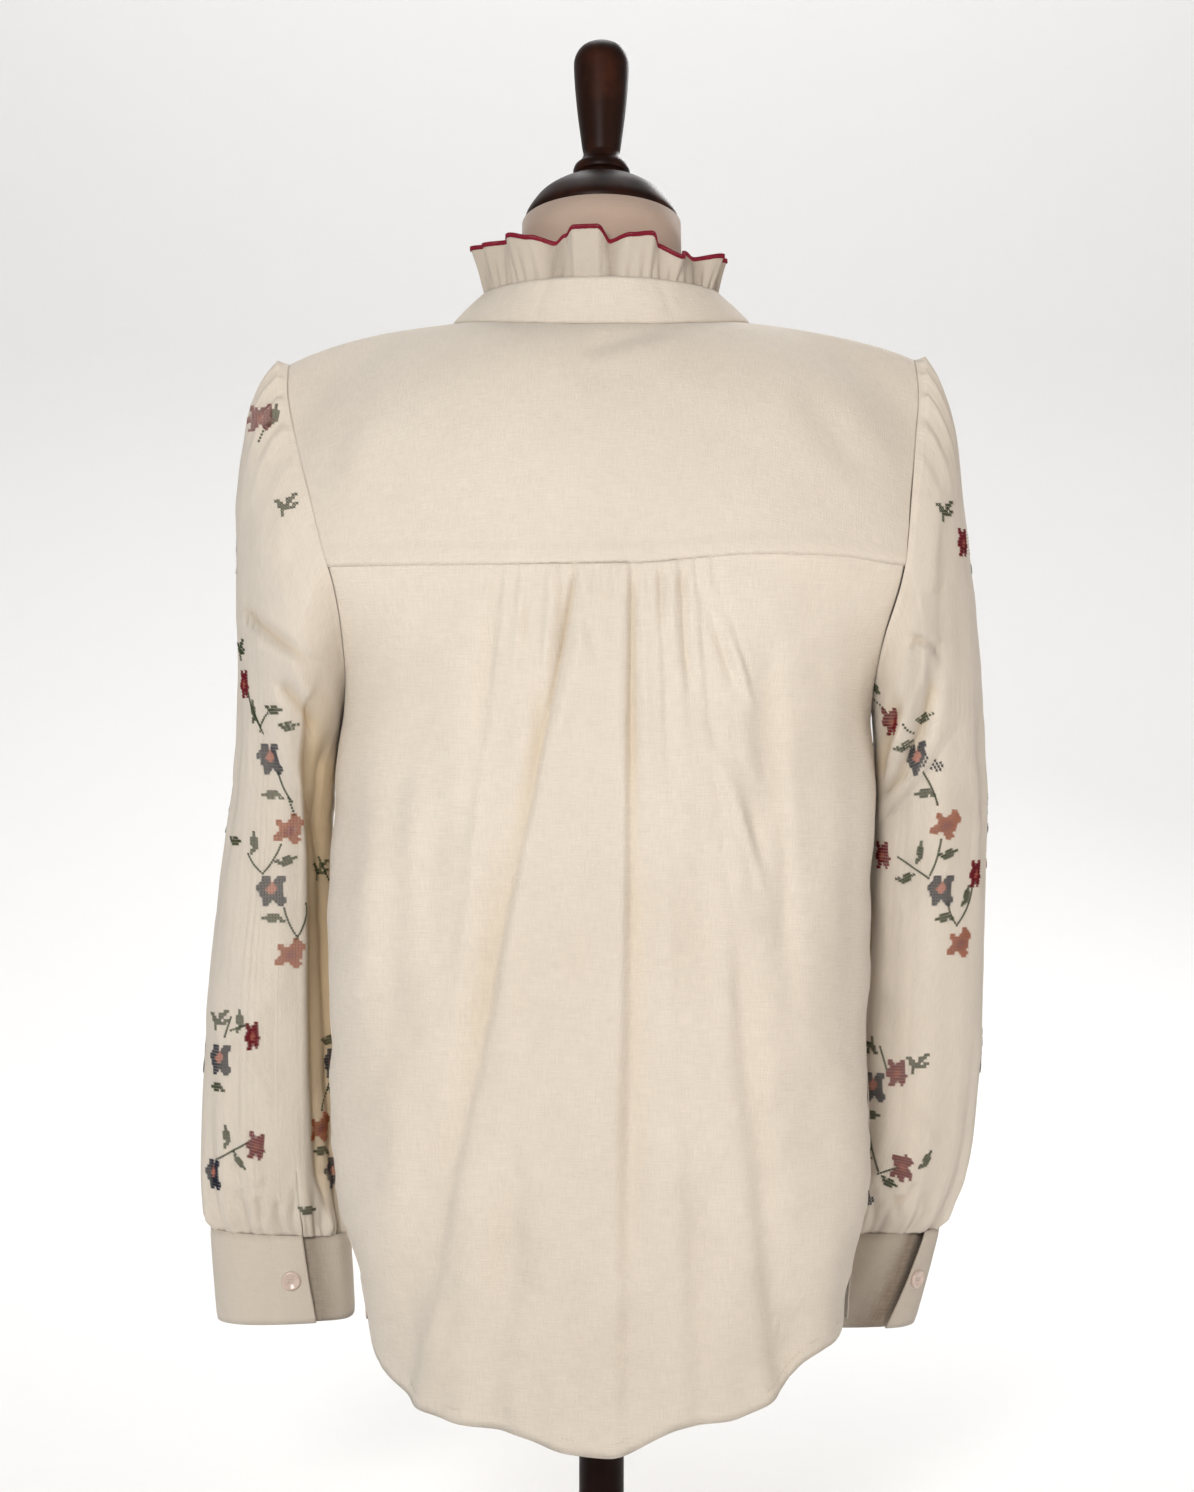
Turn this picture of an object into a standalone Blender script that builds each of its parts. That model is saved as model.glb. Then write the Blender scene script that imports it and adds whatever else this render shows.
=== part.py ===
# An embroidered blouse, gathered, ruffled and buttoned, on a limbless dress form.
# The wearer's left is +X and the back is +Y. Sizes are in millimetres, and heights in the tables
# are measured from the bust line. place() turns them into metres above the floor.

from collections import namedtuple
from math import cos, degrees, pi, radians, sin, tan

import bmesh
import bpy
import numpy as np
from mathutils import Vector

MM = 0.001
BUST_LINE = 525.0

# Cloth
CLOTH = 1.5
BAND = 2.0
SEAM_GAP = 0.4
YOKE_GAP = 0.8
ARMHOLE_GAP = 0.95
LAY_GAP = 0.5

# Blouse levels, from the bust line
YOKE_SEAM = 108.0
UNDERARM = 25.0
SECTION_POWER = 2.4
NECK_HALF_WIDTH = 92.0
NECK_BACK = 64.0
NECK_FRONT = 80.0
NECK_HEIGHT = 262.0
NECK_BACK_DROP = 7.0
NECK_FRONT_DROP = 57.0
YOKE_FRONT_TURN = -20.0
YOKE_FRONT_GAP = 0.45
NECK_DROP_POWER = 1.6
# Gaps at the side seams and the centre front, each side of the seam
SIDE_SEAM_GAP = 0.25
CENTRE_GAP = 0.35
SIDE_RADIUS = 165.0

# The shoulder's line: its power and slope behind, how much each grows at the side, and how fast
SHOULDER_POWER = 2.2
SHOULDER_SQUARE = 7.0
SHOULDER_SLOPE = 0.10
SHOULDER_SIDE_SLOPE = 0.09
SHOULDER_TURN = 40

BodySection = namedtuple("BodySection", "height left right back front")
BODY = [
    BodySection(108, 215, 222, 112, 108),
    BodySection(85, 186, 200, 113, 111),
    BodySection(65, 170, 184, 114, 113),
    BodySection(40, 160.5, 171, 115, 115),
    BodySection(25, 160, 168, 115, 116),
    BodySection(-24, 165, 167, 116, 115),
    BodySection(-91, 169, 166, 116, 113),
    BodySection(-152, 169, 164, 117, 111),
    BodySection(-216, 166, 166, 118, 110),
    BodySection(-262, 164, 166, 118, 110),
    BodySection(-292, 161, 162, 118, 110),
    BodySection(-330, 150, 156, 118, 110),
    BodySection(-357, 146, 153, 117, 109),
    BodySection(-425, 142, 150, 114, 107),
]

Armhole = namedtuple("Armhole", "height left right")
ARMHOLE = [
    Armhole(240, 193, 193),
    Armhole(214, 192, 194),
    Armhole(187, 186, 191),
    Armhole(151, 176, 187),
    Armhole(121, 168, 184),
    Armhole(100, 162, 181),
    Armhole(65, 158, 172),
    Armhole(40, 158, 168.5),
    Armhole(25, 160, 168),
]

Hem = namedtuple("Hem", "turn height")
HEM = [
    Hem(0, -358),
    Hem(15, -376),
    Hem(32, -393),
    Hem(50, -401),
    Hem(68, -407),
    Hem(82, -417),
    Hem(95, -419),
    Hem(106, -405),
    Hem(124, -398),
    Hem(134, -388),
    Hem(144, -370),
    Hem(160, -362),
    Hem(180, -358),
    Hem(215, -380),
    Hem(270, -396),
    Hem(325, -380),
    Hem(360, -358),
]

# Gathers and long folds of the back: where each valley lies at the seam and at the hem
BackFold = namedtuple("BackFold", "top hem depth hem_depth width reach")
BACK_FOLDS = [
    BackFold(59, 128, 2.6, 3.0, 3.4, 0.5),
    BackFold(50, 98, 2.8, 0.5, 3.2, 0.3),
    BackFold(41, 66, 3.0, 0.0, 3.2, 0.25),
    BackFold(34, 62, 3.2, 4.0, 3.2, 0.6),
    BackFold(24, 30, 3.4, 0.5, 3.2, 0.3),
    BackFold(15, 8, 3.6, 1.0, 3.2, 0.45),
    BackFold(6, 2, 2.2, 0.0, 2.8, 0.15),
    BackFold(-3, -2, 2.4, 0.5, 3.0, 0.2),
    BackFold(-18, -21, 4.2, 5.0, 3.2, 1.0),
    BackFold(-27, -40, 3.2, 1.0, 3.0, 0.35),
    BackFold(-34, -62, 3.0, 3.0, 3.2, 0.6),
    BackFold(-47, -78, 3.4, 0.5, 3.2, 0.4),
    BackFold(-55, -112, 3.0, 4.0, 3.2, 0.6),
    BackFold(-66, -132, 2.2, 1.0, 3.4, 0.3),
]
FOLD_RISE = 0.03
FOLD_SPREAD = 9.0
PUFF = 2.2
PUFF_HALF_WIDTH = 66.0
PUFF_LEVEL = 0.06
PUFF_RUN = 0.096

# Soft folds of the two fronts, by their distance from the centre front
FrontFold = namedtuple("FrontFold", "top hem depth width")
FRONT_FOLDS = [
    FrontFold(48, 62, 3.0, 13.0),
    FrontFold(96, 108, 4.0, 15.0),
]
FRONT_FOLD_TOP = 108.0
FRONT_FOLD_FOOT = -358.0

# Neck band and ruffle
StandEdge = namedtuple("StandEdge", "half_width back front height back_rise front_drop")
STAND_BASE = StandEdge(92.0, 64.0, 80.0, 262.6, -7.0, 57.0)
STAND_TOP = StandEdge(72.0, 57.0, 64.0, 281.0, 3.5, 41.0)
STAND_OVER_END = 283.0
STAND_UNDER_END = -98.0
LAP_STEP = 2.9
LAP_RUN = 30.0

# Each wave of the ruffle: how far it stands out from the band, and how high its edge is above it
RuffleWave = namedtuple("RuffleWave", "turn out rise")
RUFFLE = [
    RuffleWave(-78, 3.0, 26),
    RuffleWave(-66, 9.5, 29),
    RuffleWave(-54, 1.0, 26),
    RuffleWave(-42, 10.0, 30),
    RuffleWave(-30, 0.5, 27),
    RuffleWave(-19, 9.0, 29),
    RuffleWave(-8, 1.0, 27),
    RuffleWave(4, 9.5, 30),
    RuffleWave(15, 3.0, 30),
    RuffleWave(26, 9.0, 28),
    RuffleWave(37, 2.5, 27),
    RuffleWave(47, 9.0, 27),
    RuffleWave(57, 1.0, 23),
    RuffleWave(64, 6.5, 27),
    RuffleWave(71, 0.0, 25),
    RuffleWave(78, 7.5, 31),
    RuffleWave(88, 8.0, 31),
    RuffleWave(94, 1.0, 23),
    RuffleWave(102, 7.0, 24),
    RuffleWave(111, 3.0, 27),
    RuffleWave(119, 9.0, 22),
    RuffleWave(128, 2.0, 16),
    RuffleWave(137, 8.5, 18),
    RuffleWave(147, 1.0, 19),
    RuffleWave(158, 9.0, 22),
    RuffleWave(169, 0.5, 22),
    RuffleWave(180, 7.0, 23),
    RuffleWave(191, 1.0, 24),
    RuffleWave(203, 9.5, 28),
    RuffleWave(215, 0.5, 26),
    RuffleWave(227, 10.0, 30),
    RuffleWave(239, 1.0, 26),
    RuffleWave(250, 9.0, 29),
    RuffleWave(260, 3.0, 26),
]
RUFFLE_WALL = 1.2
RUFFLE_STEPS = 3
RUFFLE_LEVELS = (0.0, 0.45, 1.0)

# A sleeve's sections: its outer and inner points, and its half depth behind and before mid_y
SleeveSection = namedtuple("SleeveSection", "out_x out_z in_x in_z mid_y back front")
LEFT_SLEEVE = [
    SleeveSection(200, 235.5, 162, 20, 3, 84, 81),
    SleeveSection(210, 223, 163.5, 12, 2, 86, 82),
    SleeveSection(219, 199, 165.5, 2, 0, 85, 80),
    SleeveSection(225, 158, 167, -12, -6, 81, 77),
    SleeveSection(226.5, 106, 169.5, -30, -14, 75, 74),
    SleeveSection(227.5, 45, 171, -54, -24, 67, 70),
    SleeveSection(231.5, -18, 170.5, -84, -35, 62, 67),
    SleeveSection(241, -80, 169.5, -114, -45, 59, 64),
    SleeveSection(249, -141, 168, -156, -52, 57, 62),
    SleeveSection(253.5, -210, 166, -211, -55, 56, 60),
    SleeveSection(254.5, -263, 164, -264, -56, 54, 56),
    SleeveSection(253, -291, 163, -293, -56, 45, 47),
    SleeveSection(248.3, -307.8, 163.5, -311, -56, 35, 37),
]
RIGHT_SLEEVE = [
    SleeveSection(199.5, 237.5, 170, 20, 3, 80, 78),
    SleeveSection(208, 224, 171, 12, 2, 83, 80),
    SleeveSection(217, 199, 172, 2, 0, 83, 79),
    SleeveSection(223, 156, 172, -12, -6, 80, 76),
    SleeveSection(229, 115, 172, -30, -15, 74, 74),
    SleeveSection(238, 47, 170.5, -54, -28, 66, 70),
    SleeveSection(243, -20, 169, -84, -40, 62, 67),
    SleeveSection(244, -82, 166, -114, -50, 59, 64),
    SleeveSection(244, -144, 163.5, -155, -60, 57, 62),
    SleeveSection(243, -209, 160, -212, -72, 56, 60),
    SleeveSection(238.5, -265, 152, -266, -86, 54, 56),
    SleeveSection(229, -296, 147, -297, -93, 45, 46),
    SleeveSection(219, -313.5, 146, -315.5, -97, 35, 36),
]
SLEEVE_POWER = 2.5
SLEEVE_FINE = 40
SLEEVE_WARP = 0.62
HEAD_GATHERS = 11
HEAD_REACH = 75.0
# How much of the armhole's own shape each section keeps, from the seam down
HEAD_SHAPE = (1.0, 0.9, 0.72, 0.5, 0.28, 0.1)
CUFF_GATHERS = 13
# Depth of the gathers along the sleeve: at the head's seam, below it, and down to the cuff's seam
HEAD_DEPTHS = (0.2, 1.6, 2.4, 1.4)
CUFF_DEPTHS = (1.0, 2.4, 0.7)

# Diagonal creases behind and before each elbow: section, turn, depth and half width round the sleeve
SleeveCrease = namedtuple("SleeveCrease", "section turn depth spread")
SLEEVE_CREASES = [
    SleeveCrease(4, 60, 1.5, 26),
    SleeveCrease(5, 118, 7.0, 30),
    SleeveCrease(6, 140, 5.0, 26),
    SleeveCrease(7, 250, 5.0, 30),
    SleeveCrease(8, 75, 3.0, 24),
    SleeveCrease(9, 290, 3.5, 26),
]

# A cuff's levels: out and in are its widest points, end is the turn of its lapped end
CuffLevel = namedtuple("CuffLevel", "out_x out_z in_x in_z mid_y depth end")
LEFT_CUFF = [
    CuffLevel(248.9, -308.4, 162.9, -311.6, -56, 36.5, 108),
    CuffLevel(246.8, -336.5, 161, -338, -56, 37, 111),
    CuffLevel(244.5, -366, 160, -364, -56, 36, 116),
]
RIGHT_CUFF = [
    CuffLevel(219.6, -314.1, 145.4, -316.1, -97, 36.5, 48),
    CuffLevel(211.8, -344, 138, -345, -97, 38, 58),
    CuffLevel(203.4, -375, 131, -374, -97, 37, 70),
]
CUFF_LAP = 42.0
CUFF_LAP_RUN = 36.0
CUFF_COLUMNS = 40
CUFF_BUTTON_BACK = 14.0

# Buttons
BUTTON_RADIUS = 6.2
BUTTON_THICK = 2.6
BUTTON_DISH = 0.8
BUTTON_GAP = 0.4
BUTTON_SIDES = 12
FRONT_BUTTON_HEIGHTS = (150.0, 72.0, -6.0, -84.0, -162.0, -240.0)
PLACKET_HALF_WIDTH = 15.0
PLACKET_HEAD = 0.09

# Dress form
FORM_HALF_WIDTH = 184.0
FORM_BOTTOM = -320.0
FormSection = namedtuple("FormSection", "height left right back front")
FORM = [
    FormSection(108, 206, 206, 104, 101),
    FormSection(60, 162, 162, 101, 103),
    FormSection(20, 149, 149, 99, 103),
    FormSection(-90, 118, 118, 80, 82),
    FormSection(-190, 138, 138, 93, 86),
    FormSection(-270, 146, 146, 97, 88),
    FormSection(-320, 136, 136, 90, 84),
]
FORM_COLUMNS = 32
FORM_INSET = 2.1
NECK_RADIUS = 49.7
NECK_ROOT_RADIUS = 52.5
NECK_MIDDLE = -4.0
NECK_LENGTH = 68.0
CAP_TILT = 12.7
CAP_HEIGHT = 326.5
CAP_TOP = 33.0
POLE_RADIUS = 14.0
POLE_GAP = 0.3
BASE_RADIUS = 150.0
BASE_THICK = 24.0


def finish(name, colour, roughness, metallic=0.0):
    """A material with one colour, roughness and metallic value."""
    material = bpy.data.materials.new(name)
    material.use_nodes = True
    shader = material.node_tree.nodes["Principled BSDF"]
    shader.inputs["Base Color"].default_value = (*colour, 1.0)
    shader.inputs["Roughness"].default_value = roughness
    shader.inputs["Metallic"].default_value = metallic
    material.diffuse_color = (*colour, 1.0)
    return material


def smooth(table, key, value, at):
    """Reads one column of a table at another column's value, on a curve through the rows."""
    keys = np.array([getattr(row, key) for row in table], float)
    values = np.array([getattr(row, value) for row in table], float)
    if keys[0] > keys[-1]:
        keys, values = keys[::-1], values[::-1]
    slopes = np.gradient(values, keys)
    at = np.clip(at, keys[0], keys[-1])
    i = np.clip(np.searchsorted(keys, at) - 1, 0, len(keys) - 2)
    span = keys[i + 1] - keys[i]
    t = (at - keys[i]) / span
    start = values[i] * (1 + 2 * t) * (1 - t) ** 2 + slopes[i] * span * t * (1 - t) ** 2
    end = values[i + 1] * t**2 * (3 - 2 * t) - slopes[i + 1] * span * t**2 * (1 - t)
    return start + end


def place(point):
    """A point in millimetres from the bust line, in metres from the floor."""
    return Vector((point[0] * MM, point[1] * MM, (point[2] + BUST_LINE) * MM))


def section_point(table, turn, height, power=SECTION_POWER):
    """A point of a body's section: turn 0 is the left side, and 90 the centre back."""
    across = cos(radians(turn))
    side = "left" if across >= 0 else "right"
    face = "back" if sin(radians(turn)) >= 0 else "front"
    half_width = smooth(table, "height", side, height)
    depth = smooth(table, "height", face, height)
    away = depth * (1 - abs(across) ** power) ** (1 / power)
    return np.array([half_width * across, away if face == "back" else -away, height])


def outward(table, point):
    """The level direction that points out of a body's section at a point."""
    half_width = smooth(table, "height", "left", point[2])
    depth = smooth(table, "height", "back", point[2])
    out = np.array([point[0] / half_width**2, point[1] / depth**2, 0.0])
    return out / np.linalg.norm(out)


def neck_point(turn):
    """A point of the neck seam."""
    away = sin(radians(turn))
    if away >= 0:
        return np.array(
            [NECK_HALF_WIDTH * cos(radians(turn)), NECK_BACK * away, NECK_HEIGHT - NECK_BACK_DROP * away**2]
        )
    drop = NECK_FRONT_DROP * abs(away) ** NECK_DROP_POWER
    return np.array([NECK_HALF_WIDTH * cos(radians(turn)), NECK_FRONT * away, NECK_HEIGHT - drop])


def armhole_x(height, left):
    return smooth(ARMHOLE, "height", "left" if left else "right", height)


def shoulder_line(start, end, turn):
    """A line from the neck out over the shoulder and down: nearly square at the side, round behind."""
    sideways = abs(cos(radians(turn))) ** SHOULDER_TURN
    power = SHOULDER_POWER + SHOULDER_SQUARE * sideways
    slope = SHOULDER_SLOPE + SHOULDER_SIDE_SLOPE * sideways
    angles = np.radians(np.linspace(0, 90, 160))
    run = np.sin(angles) ** (2 / power)
    fall = slope * run + (1 - slope) * (1 - np.cos(angles) ** (2 / power))
    line = np.empty((len(angles), 3))
    line[:, :2] = start[:2] + (end[:2] - start[:2]) * run[:, None]
    line[:, 2] = start[2] + (end[2] - start[2]) * fall
    return line


def resample(line, shares):
    """Points of a line at these shares of its length."""
    lengths = np.concatenate([[0.0], np.cumsum(np.linalg.norm(np.diff(line, axis=0), axis=1))])
    at = np.array(shares) * lengths[-1]
    return np.stack([np.interp(at, lengths, line[:, k]) for k in range(3)], axis=1)


def upper_line(turn):
    """The blouse's line from the neck seam to the yoke's level, cut off at the armhole's seam."""
    line = shoulder_line(neck_point(turn), section_point(BODY, turn, YOKE_SEAM), turn)
    past = np.abs(line[:, 0]) - armhole_x(line[:, 2], line[0, 0] >= 0)
    over = np.nonzero(past > 0)[0]
    if not len(over):
        return line
    i = over[0]
    share = past[i - 1] / (past[i - 1] - past[i])
    cut = line[i - 1] + (line[i] - line[i - 1]) * share
    return np.vstack([line[:i], cut])


def armhole_turn(height, left, front=False):
    """The turn at which the armhole's seam crosses a body section."""
    side = "left" if left else "right"
    share = armhole_x(height, left) / smooth(BODY, "height", side, height)
    turn = degrees(np.arccos(min(share, 1.0)))
    turn = turn if left else 180 - turn
    return -turn if front else turn


def armhole_edge(left, front):
    """One half of the armhole's seam, from the underarm up to the shoulder."""
    heights = np.linspace(UNDERARM, YOKE_SEAM, 9)
    low = [section_point(BODY, armhole_turn(z, left, front), z) for z in heights]
    corner = armhole_turn(YOKE_SEAM, left, front)
    tip = 0.0 if left else (-180.0 if front else 180.0)
    high = [upper_line(turn)[-1] for turn in np.linspace(corner, tip, 40)[1:]]
    return np.array(low + high)


def join_rows(bm, first, second, closed, skip):
    """Faces between two rows of points, where one row may have half as many as the other."""
    fine, coarse = (first, second) if len(first) >= len(second) else (second, first)
    flip = fine is second
    step = 1 if len(fine) < 1.5 * len(coarse) else 2
    cells = len(coarse) if closed else len(coarse) - 1
    for c in range(cells):
        if c in skip:
            continue
        near = [fine[(c * step + k) % len(fine)] for k in range(step + 1)]
        far = [coarse[(c + 1) % len(coarse)], coarse[c]]
        corners = near + far
        bm.faces.new(corners if flip else corners[::-1])


def new_piece(name, bm, material):
    bmesh.ops.remove_doubles(bm, verts=bm.verts, dist=1e-6)
    mesh = bpy.data.meshes.new(name)
    bm.to_mesh(mesh)
    bm.free()
    mesh.materials.append(material)
    mesh.shade_smooth()
    piece = bpy.data.objects.new(name, mesh)
    bpy.context.scene.collection.objects.link(piece)
    return piece


def cloth(name, grids, material, closed=False, wall=CLOTH, skip=()):
    """A cut piece: a skin through rows of points that run from its top down, with its wall inside."""
    bm = bmesh.new()
    for rows in grids:
        lines = [[bm.verts.new(place(point)) for point in row] for row in rows]
        for r in range(len(lines) - 1):
            left_out = [cell for row, cell in skip if row == r]
            join_rows(bm, lines[r], lines[r + 1], closed, left_out)
    piece = new_piece(name, bm, material)
    thicken = piece.modifiers.new("Wall", "SOLIDIFY")
    thicken.thickness = wall * MM
    thicken.offset = -1.0
    thicken.use_quality_normals = True
    return piece


def turned(name, profile, sides, material):
    """A turned piece: its profile runs from the top of the axis down its outer side."""
    bm = bmesh.new()
    points = [bm.verts.new((radius * MM, 0.0, height * MM)) for radius, height in profile]
    for first, second in zip(points, points[1:]):
        bm.edges.new((first, second))
    mesh = bpy.data.meshes.new(name)
    bm.to_mesh(mesh)
    bm.free()
    mesh.materials.append(material)
    piece = bpy.data.objects.new(name, mesh)
    bpy.context.scene.collection.objects.link(piece)
    screw = piece.modifiers.new("Turn", "SCREW")
    screw.steps = sides
    screw.render_steps = sides
    screw.use_merge_vertices = True
    screw.merge_threshold = 1e-6
    screw.use_smooth_shade = True
    return piece


def back_depth(x, share):
    """How far the back panel sinks into its gathers and folds, share of the way to the hem."""
    puff = PUFF * np.exp(-(((share - PUFF_LEVEL) / PUFF_RUN) ** 2))
    sunk = -puff * np.exp(-((x / PUFF_HALF_WIDTH) ** 4))
    for fold in BACK_FOLDS:
        centre = fold.top + (fold.hem - fold.top) * share
        width = fold.width + FOLD_SPREAD * share
        start = min(share / FOLD_RISE, 1.0) * 0.75 + 0.25
        depth = fold.depth * start * max(0.0, 1 - share / fold.reach) ** 0.8 + fold.hem_depth * share
        sunk += depth * np.exp(-(((x - centre) / width) ** 2))
    return sunk


def front_depth(x, height):
    """How far the fronts sink into their soft folds."""
    below = FRONT_FOLD_TOP - height
    if below <= 0:
        return 0.0
    share = below / (FRONT_FOLD_TOP - FRONT_FOLD_FOOT)
    sunk = 0.0
    for fold in FRONT_FOLDS:
        centre = fold.top + (fold.hem - fold.top) * share
        sunk += fold.depth * min(1.0, 2 * share) * np.exp(-(((abs(x) - centre) / fold.width) ** 2))
    return sunk


def body_rows(turns_at_seam, heights, shares, front, thin_after=None):
    """Rows of a panel below the yoke's level, then shares of the way from the underarm to the hem.

    turns_at_seam are the columns at the top. Below it they close up to the armhole and side seam.
    """
    first, last = turns_at_seam[0], turns_at_seam[-1]
    rows = []
    for r, level in enumerate(list(heights) + list(shares)):
        columns = turns_at_seam
        if thin_after is not None and r > thin_after:
            columns = turns_at_seam[::2]
        row = []
        for turn in columns:
            along = (turn - first) / (last - first)
            above = r < len(heights)
            seam_height = level if above else UNDERARM
            ends = panel_ends(seam_height, first, last, front)
            new_turn = ends[0] + along * (ends[1] - ends[0])
            if above:
                height = level
            else:
                hem = smooth(HEM, "turn", "height", new_turn % 360)
                height = UNDERARM + (hem - UNDERARM) * level
            point = section_point(BODY, new_turn, height)
            row.append(folded(point, new_turn, height, front))
        rows.append(row)
    return rows


def panel_ends(height, first, last, front):
    """The turns of a panel's two side edges at a height, held just short of the side seams."""
    short = degrees(SIDE_SEAM_GAP / SIDE_RADIUS)
    if not front:
        return armhole_turn(height, True) + short, armhole_turn(height, False) - short
    if first > -90:
        return first, armhole_turn(height, True, True) - short
    return armhole_turn(height, False, True) + short, last


def folded(point, turn, height, front):
    """A point of the body moved in by the depth of the folds there."""
    if front:
        sunk = front_depth(point[0], height)
    else:
        hem = smooth(HEM, "turn", "height", turn % 360)
        sunk = back_depth(point[0], (YOKE_SEAM - height) / (YOKE_SEAM - hem))
    return point - outward(BODY, point) * sunk


def spread(first, last, count, crowd=0.0):
    """Values from first to last, drawn together in the middle by crowd."""
    along = np.linspace(-1, 1, count)
    along = along * (1 - crowd) + along**3 * crowd
    return first + (last - first) * (along + 1) / 2


def yoke_turns(corner_left, corner_right):
    """Columns of the yoke, with one at each lower corner."""
    left_arm = list(np.linspace(YOKE_FRONT_TURN, corner_left, 10))
    across = list(np.linspace(corner_left, corner_right, 20))[1:-1]
    right_arm = list(np.linspace(corner_right, 180 - YOKE_FRONT_TURN, 10))
    return left_arm + across + right_arm


def make_back(cotton):
    """The yoke, and the back gathered into it."""
    left = armhole_turn(YOKE_SEAM, True)
    right = armhole_turn(YOKE_SEAM, False)
    lines = [resample(upper_line(turn), np.linspace(0, 1, 8)) for turn in yoke_turns(left, right)]
    rows = [[line[k] for line in lines] for k in range(8)]
    cloth("back_yoke", [rows], cotton)

    heights = [YOKE_SEAM - YOKE_GAP, 101, 91, 74, 50, UNDERARM]
    shares = [0.09, 0.19, 0.3, 0.42, 0.55, 0.68, 0.8, 0.91, 1.0]
    rows = body_rows(spread(left, right, 53, 0.5), heights, shares, front=False, thin_after=5)
    cloth("back_panel", [rows], cotton)


def make_front(name, cotton, left):
    """One front, from the shoulder, the neck and the armhole down to the hem."""
    gap = degrees(CENTRE_GAP / NECK_FRONT)
    centre = -90 + gap if left else -90 - gap
    corner = panel_ends(YOKE_SEAM, centre, centre, True)[1 if left else 0]
    tip = YOKE_FRONT_TURN - YOKE_FRONT_GAP if left else -180 - YOKE_FRONT_TURN + YOKE_FRONT_GAP
    main = np.linspace(centre, corner, 12)
    arm = np.linspace(corner, tip, 8)
    shares, heights, falls = front_levels()
    turns = list(main) + list(arm)[1:]
    if not left:
        main = main[::-1]
        turns = turns[::-1]
    lines = [resample(upper_line(turn), shares) for turn in turns]
    upper = [[line[k] for line in lines] for k in range(len(shares))]
    lower = body_rows(main, heights, falls, front=True)
    return cloth(name, [upper, lower], cotton)


def placket_point(x, level):
    """A point of the centre front's outer face, x from its middle, and the direction out of it there."""
    if level < 1:
        middle = resample(upper_line(-90), [level])[0]
        run = (NECK_FRONT + middle[1]) / (NECK_FRONT - smooth(BODY, "height", "front", YOKE_SEAM))
        half_width = NECK_HALF_WIDTH + (smooth(BODY, "height", "left", YOKE_SEAM) - NECK_HALF_WIDTH) * run
        turn = -degrees(np.arccos(x / half_width))
        line = resample(upper_line(turn), [level, min(level + 0.02, 1.0)])
        point, along = line[0], line[1] - line[0]
    else:
        height = YOKE_SEAM + (smooth(HEM, "turn", "height", 270.0) - YOKE_SEAM) * (level - 1)
        turn = -degrees(np.arccos(x / smooth(BODY, "height", "left", height)))
        point, along = section_point(BODY, turn, height), np.array([0.0, 0.0, -1.0])
    out = np.array([0.0, along[2], -along[1]])
    out = out / np.linalg.norm(out)
    return np.array([x, point[1], point[2]]), out


def front_levels():
    """The rows of a front: shares of the way to the yoke's level, then heights, then shares to the hem."""
    heights = [YOKE_SEAM, 80, 52, UNDERARM]
    return np.linspace(0, 1, 7), heights, [0.12, 0.25, 0.4, 0.55, 0.7, 0.85, 1.0]


def placket_rows():
    """Rows of the placket's outer face, from its head down to the hem."""
    upper, heights, lower = front_levels()
    hem = smooth(HEM, "turn", "height", 270.0)
    falls = [YOKE_SEAM - height for height in heights[1:]]
    falls += [YOKE_SEAM - UNDERARM + (UNDERARM - hem) * share for share in lower]
    levels = [PLACKET_HEAD] + list(upper[1:-1]) + [1.0] + [1 + fall / (YOKE_SEAM - hem) for fall in falls]
    rows = []
    for level in levels:
        row = []
        for x in (-PLACKET_HALF_WIDTH, -5, 5, PLACKET_HALF_WIDTH):
            point, out = placket_point(x, level)
            row.append(point + out * (LAY_GAP + CLOTH))
        rows.append(row)
    return rows


def make_placket(cotton, pearl):
    """The strip down the centre front, and the buttons that lie on it."""
    rows = placket_rows()
    cloth("front_placket", [rows], cotton)
    middle = np.array([(row[1] + row[2]) / 2 for row in rows])
    for number, height in enumerate(FRONT_BUTTON_HEIGHTS, 1):
        below = int(np.searchsorted(-middle[:, 2], -height))
        first, second = middle[below - 1], middle[below]
        along = second - first
        point = first + along * (height - first[2]) / along[2]
        out = np.array([0.0, along[2], -along[1]])
        make_button(f"front_button_{number}", point, out / np.linalg.norm(out), pearl)


def make_button(name, point, out, pearl):
    """A round button with a raised rim, its back 0.3 mm from the cloth."""
    profile = [
        (0, BUTTON_THICK - BUTTON_DISH),
        (BUTTON_RADIUS * 0.7, BUTTON_THICK),
        (BUTTON_RADIUS, BUTTON_THICK - BUTTON_DISH),
        (BUTTON_RADIUS * 0.94, 0.3),
        (0, 0),
    ]
    button = turned(name, profile, BUTTON_SIDES, pearl)
    out = Vector(out)
    button.rotation_euler = out.to_track_quat("Z", "Y").to_euler()
    button.location = place(point) + out * BUTTON_GAP * MM
    return button


def stand_point(edge, turn):
    """A point of the neck band's lower or upper edge."""
    away = sin(radians(turn))
    x = edge.half_width * cos(radians(turn))
    if away >= 0:
        return np.array([x, edge.back * away, edge.height + edge.back_rise * away**2])
    drop = edge.front_drop * abs(away) ** NECK_DROP_POWER
    return np.array([x, edge.front * away, edge.height - drop])


def lap_step(turn, under_end, run=LAP_RUN):
    """How far a band's under end is set in, so that its over end clears it."""
    return LAP_STEP * min(1.0, max(0.0, (under_end + run + LAP_RUN - turn) / run))


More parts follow.
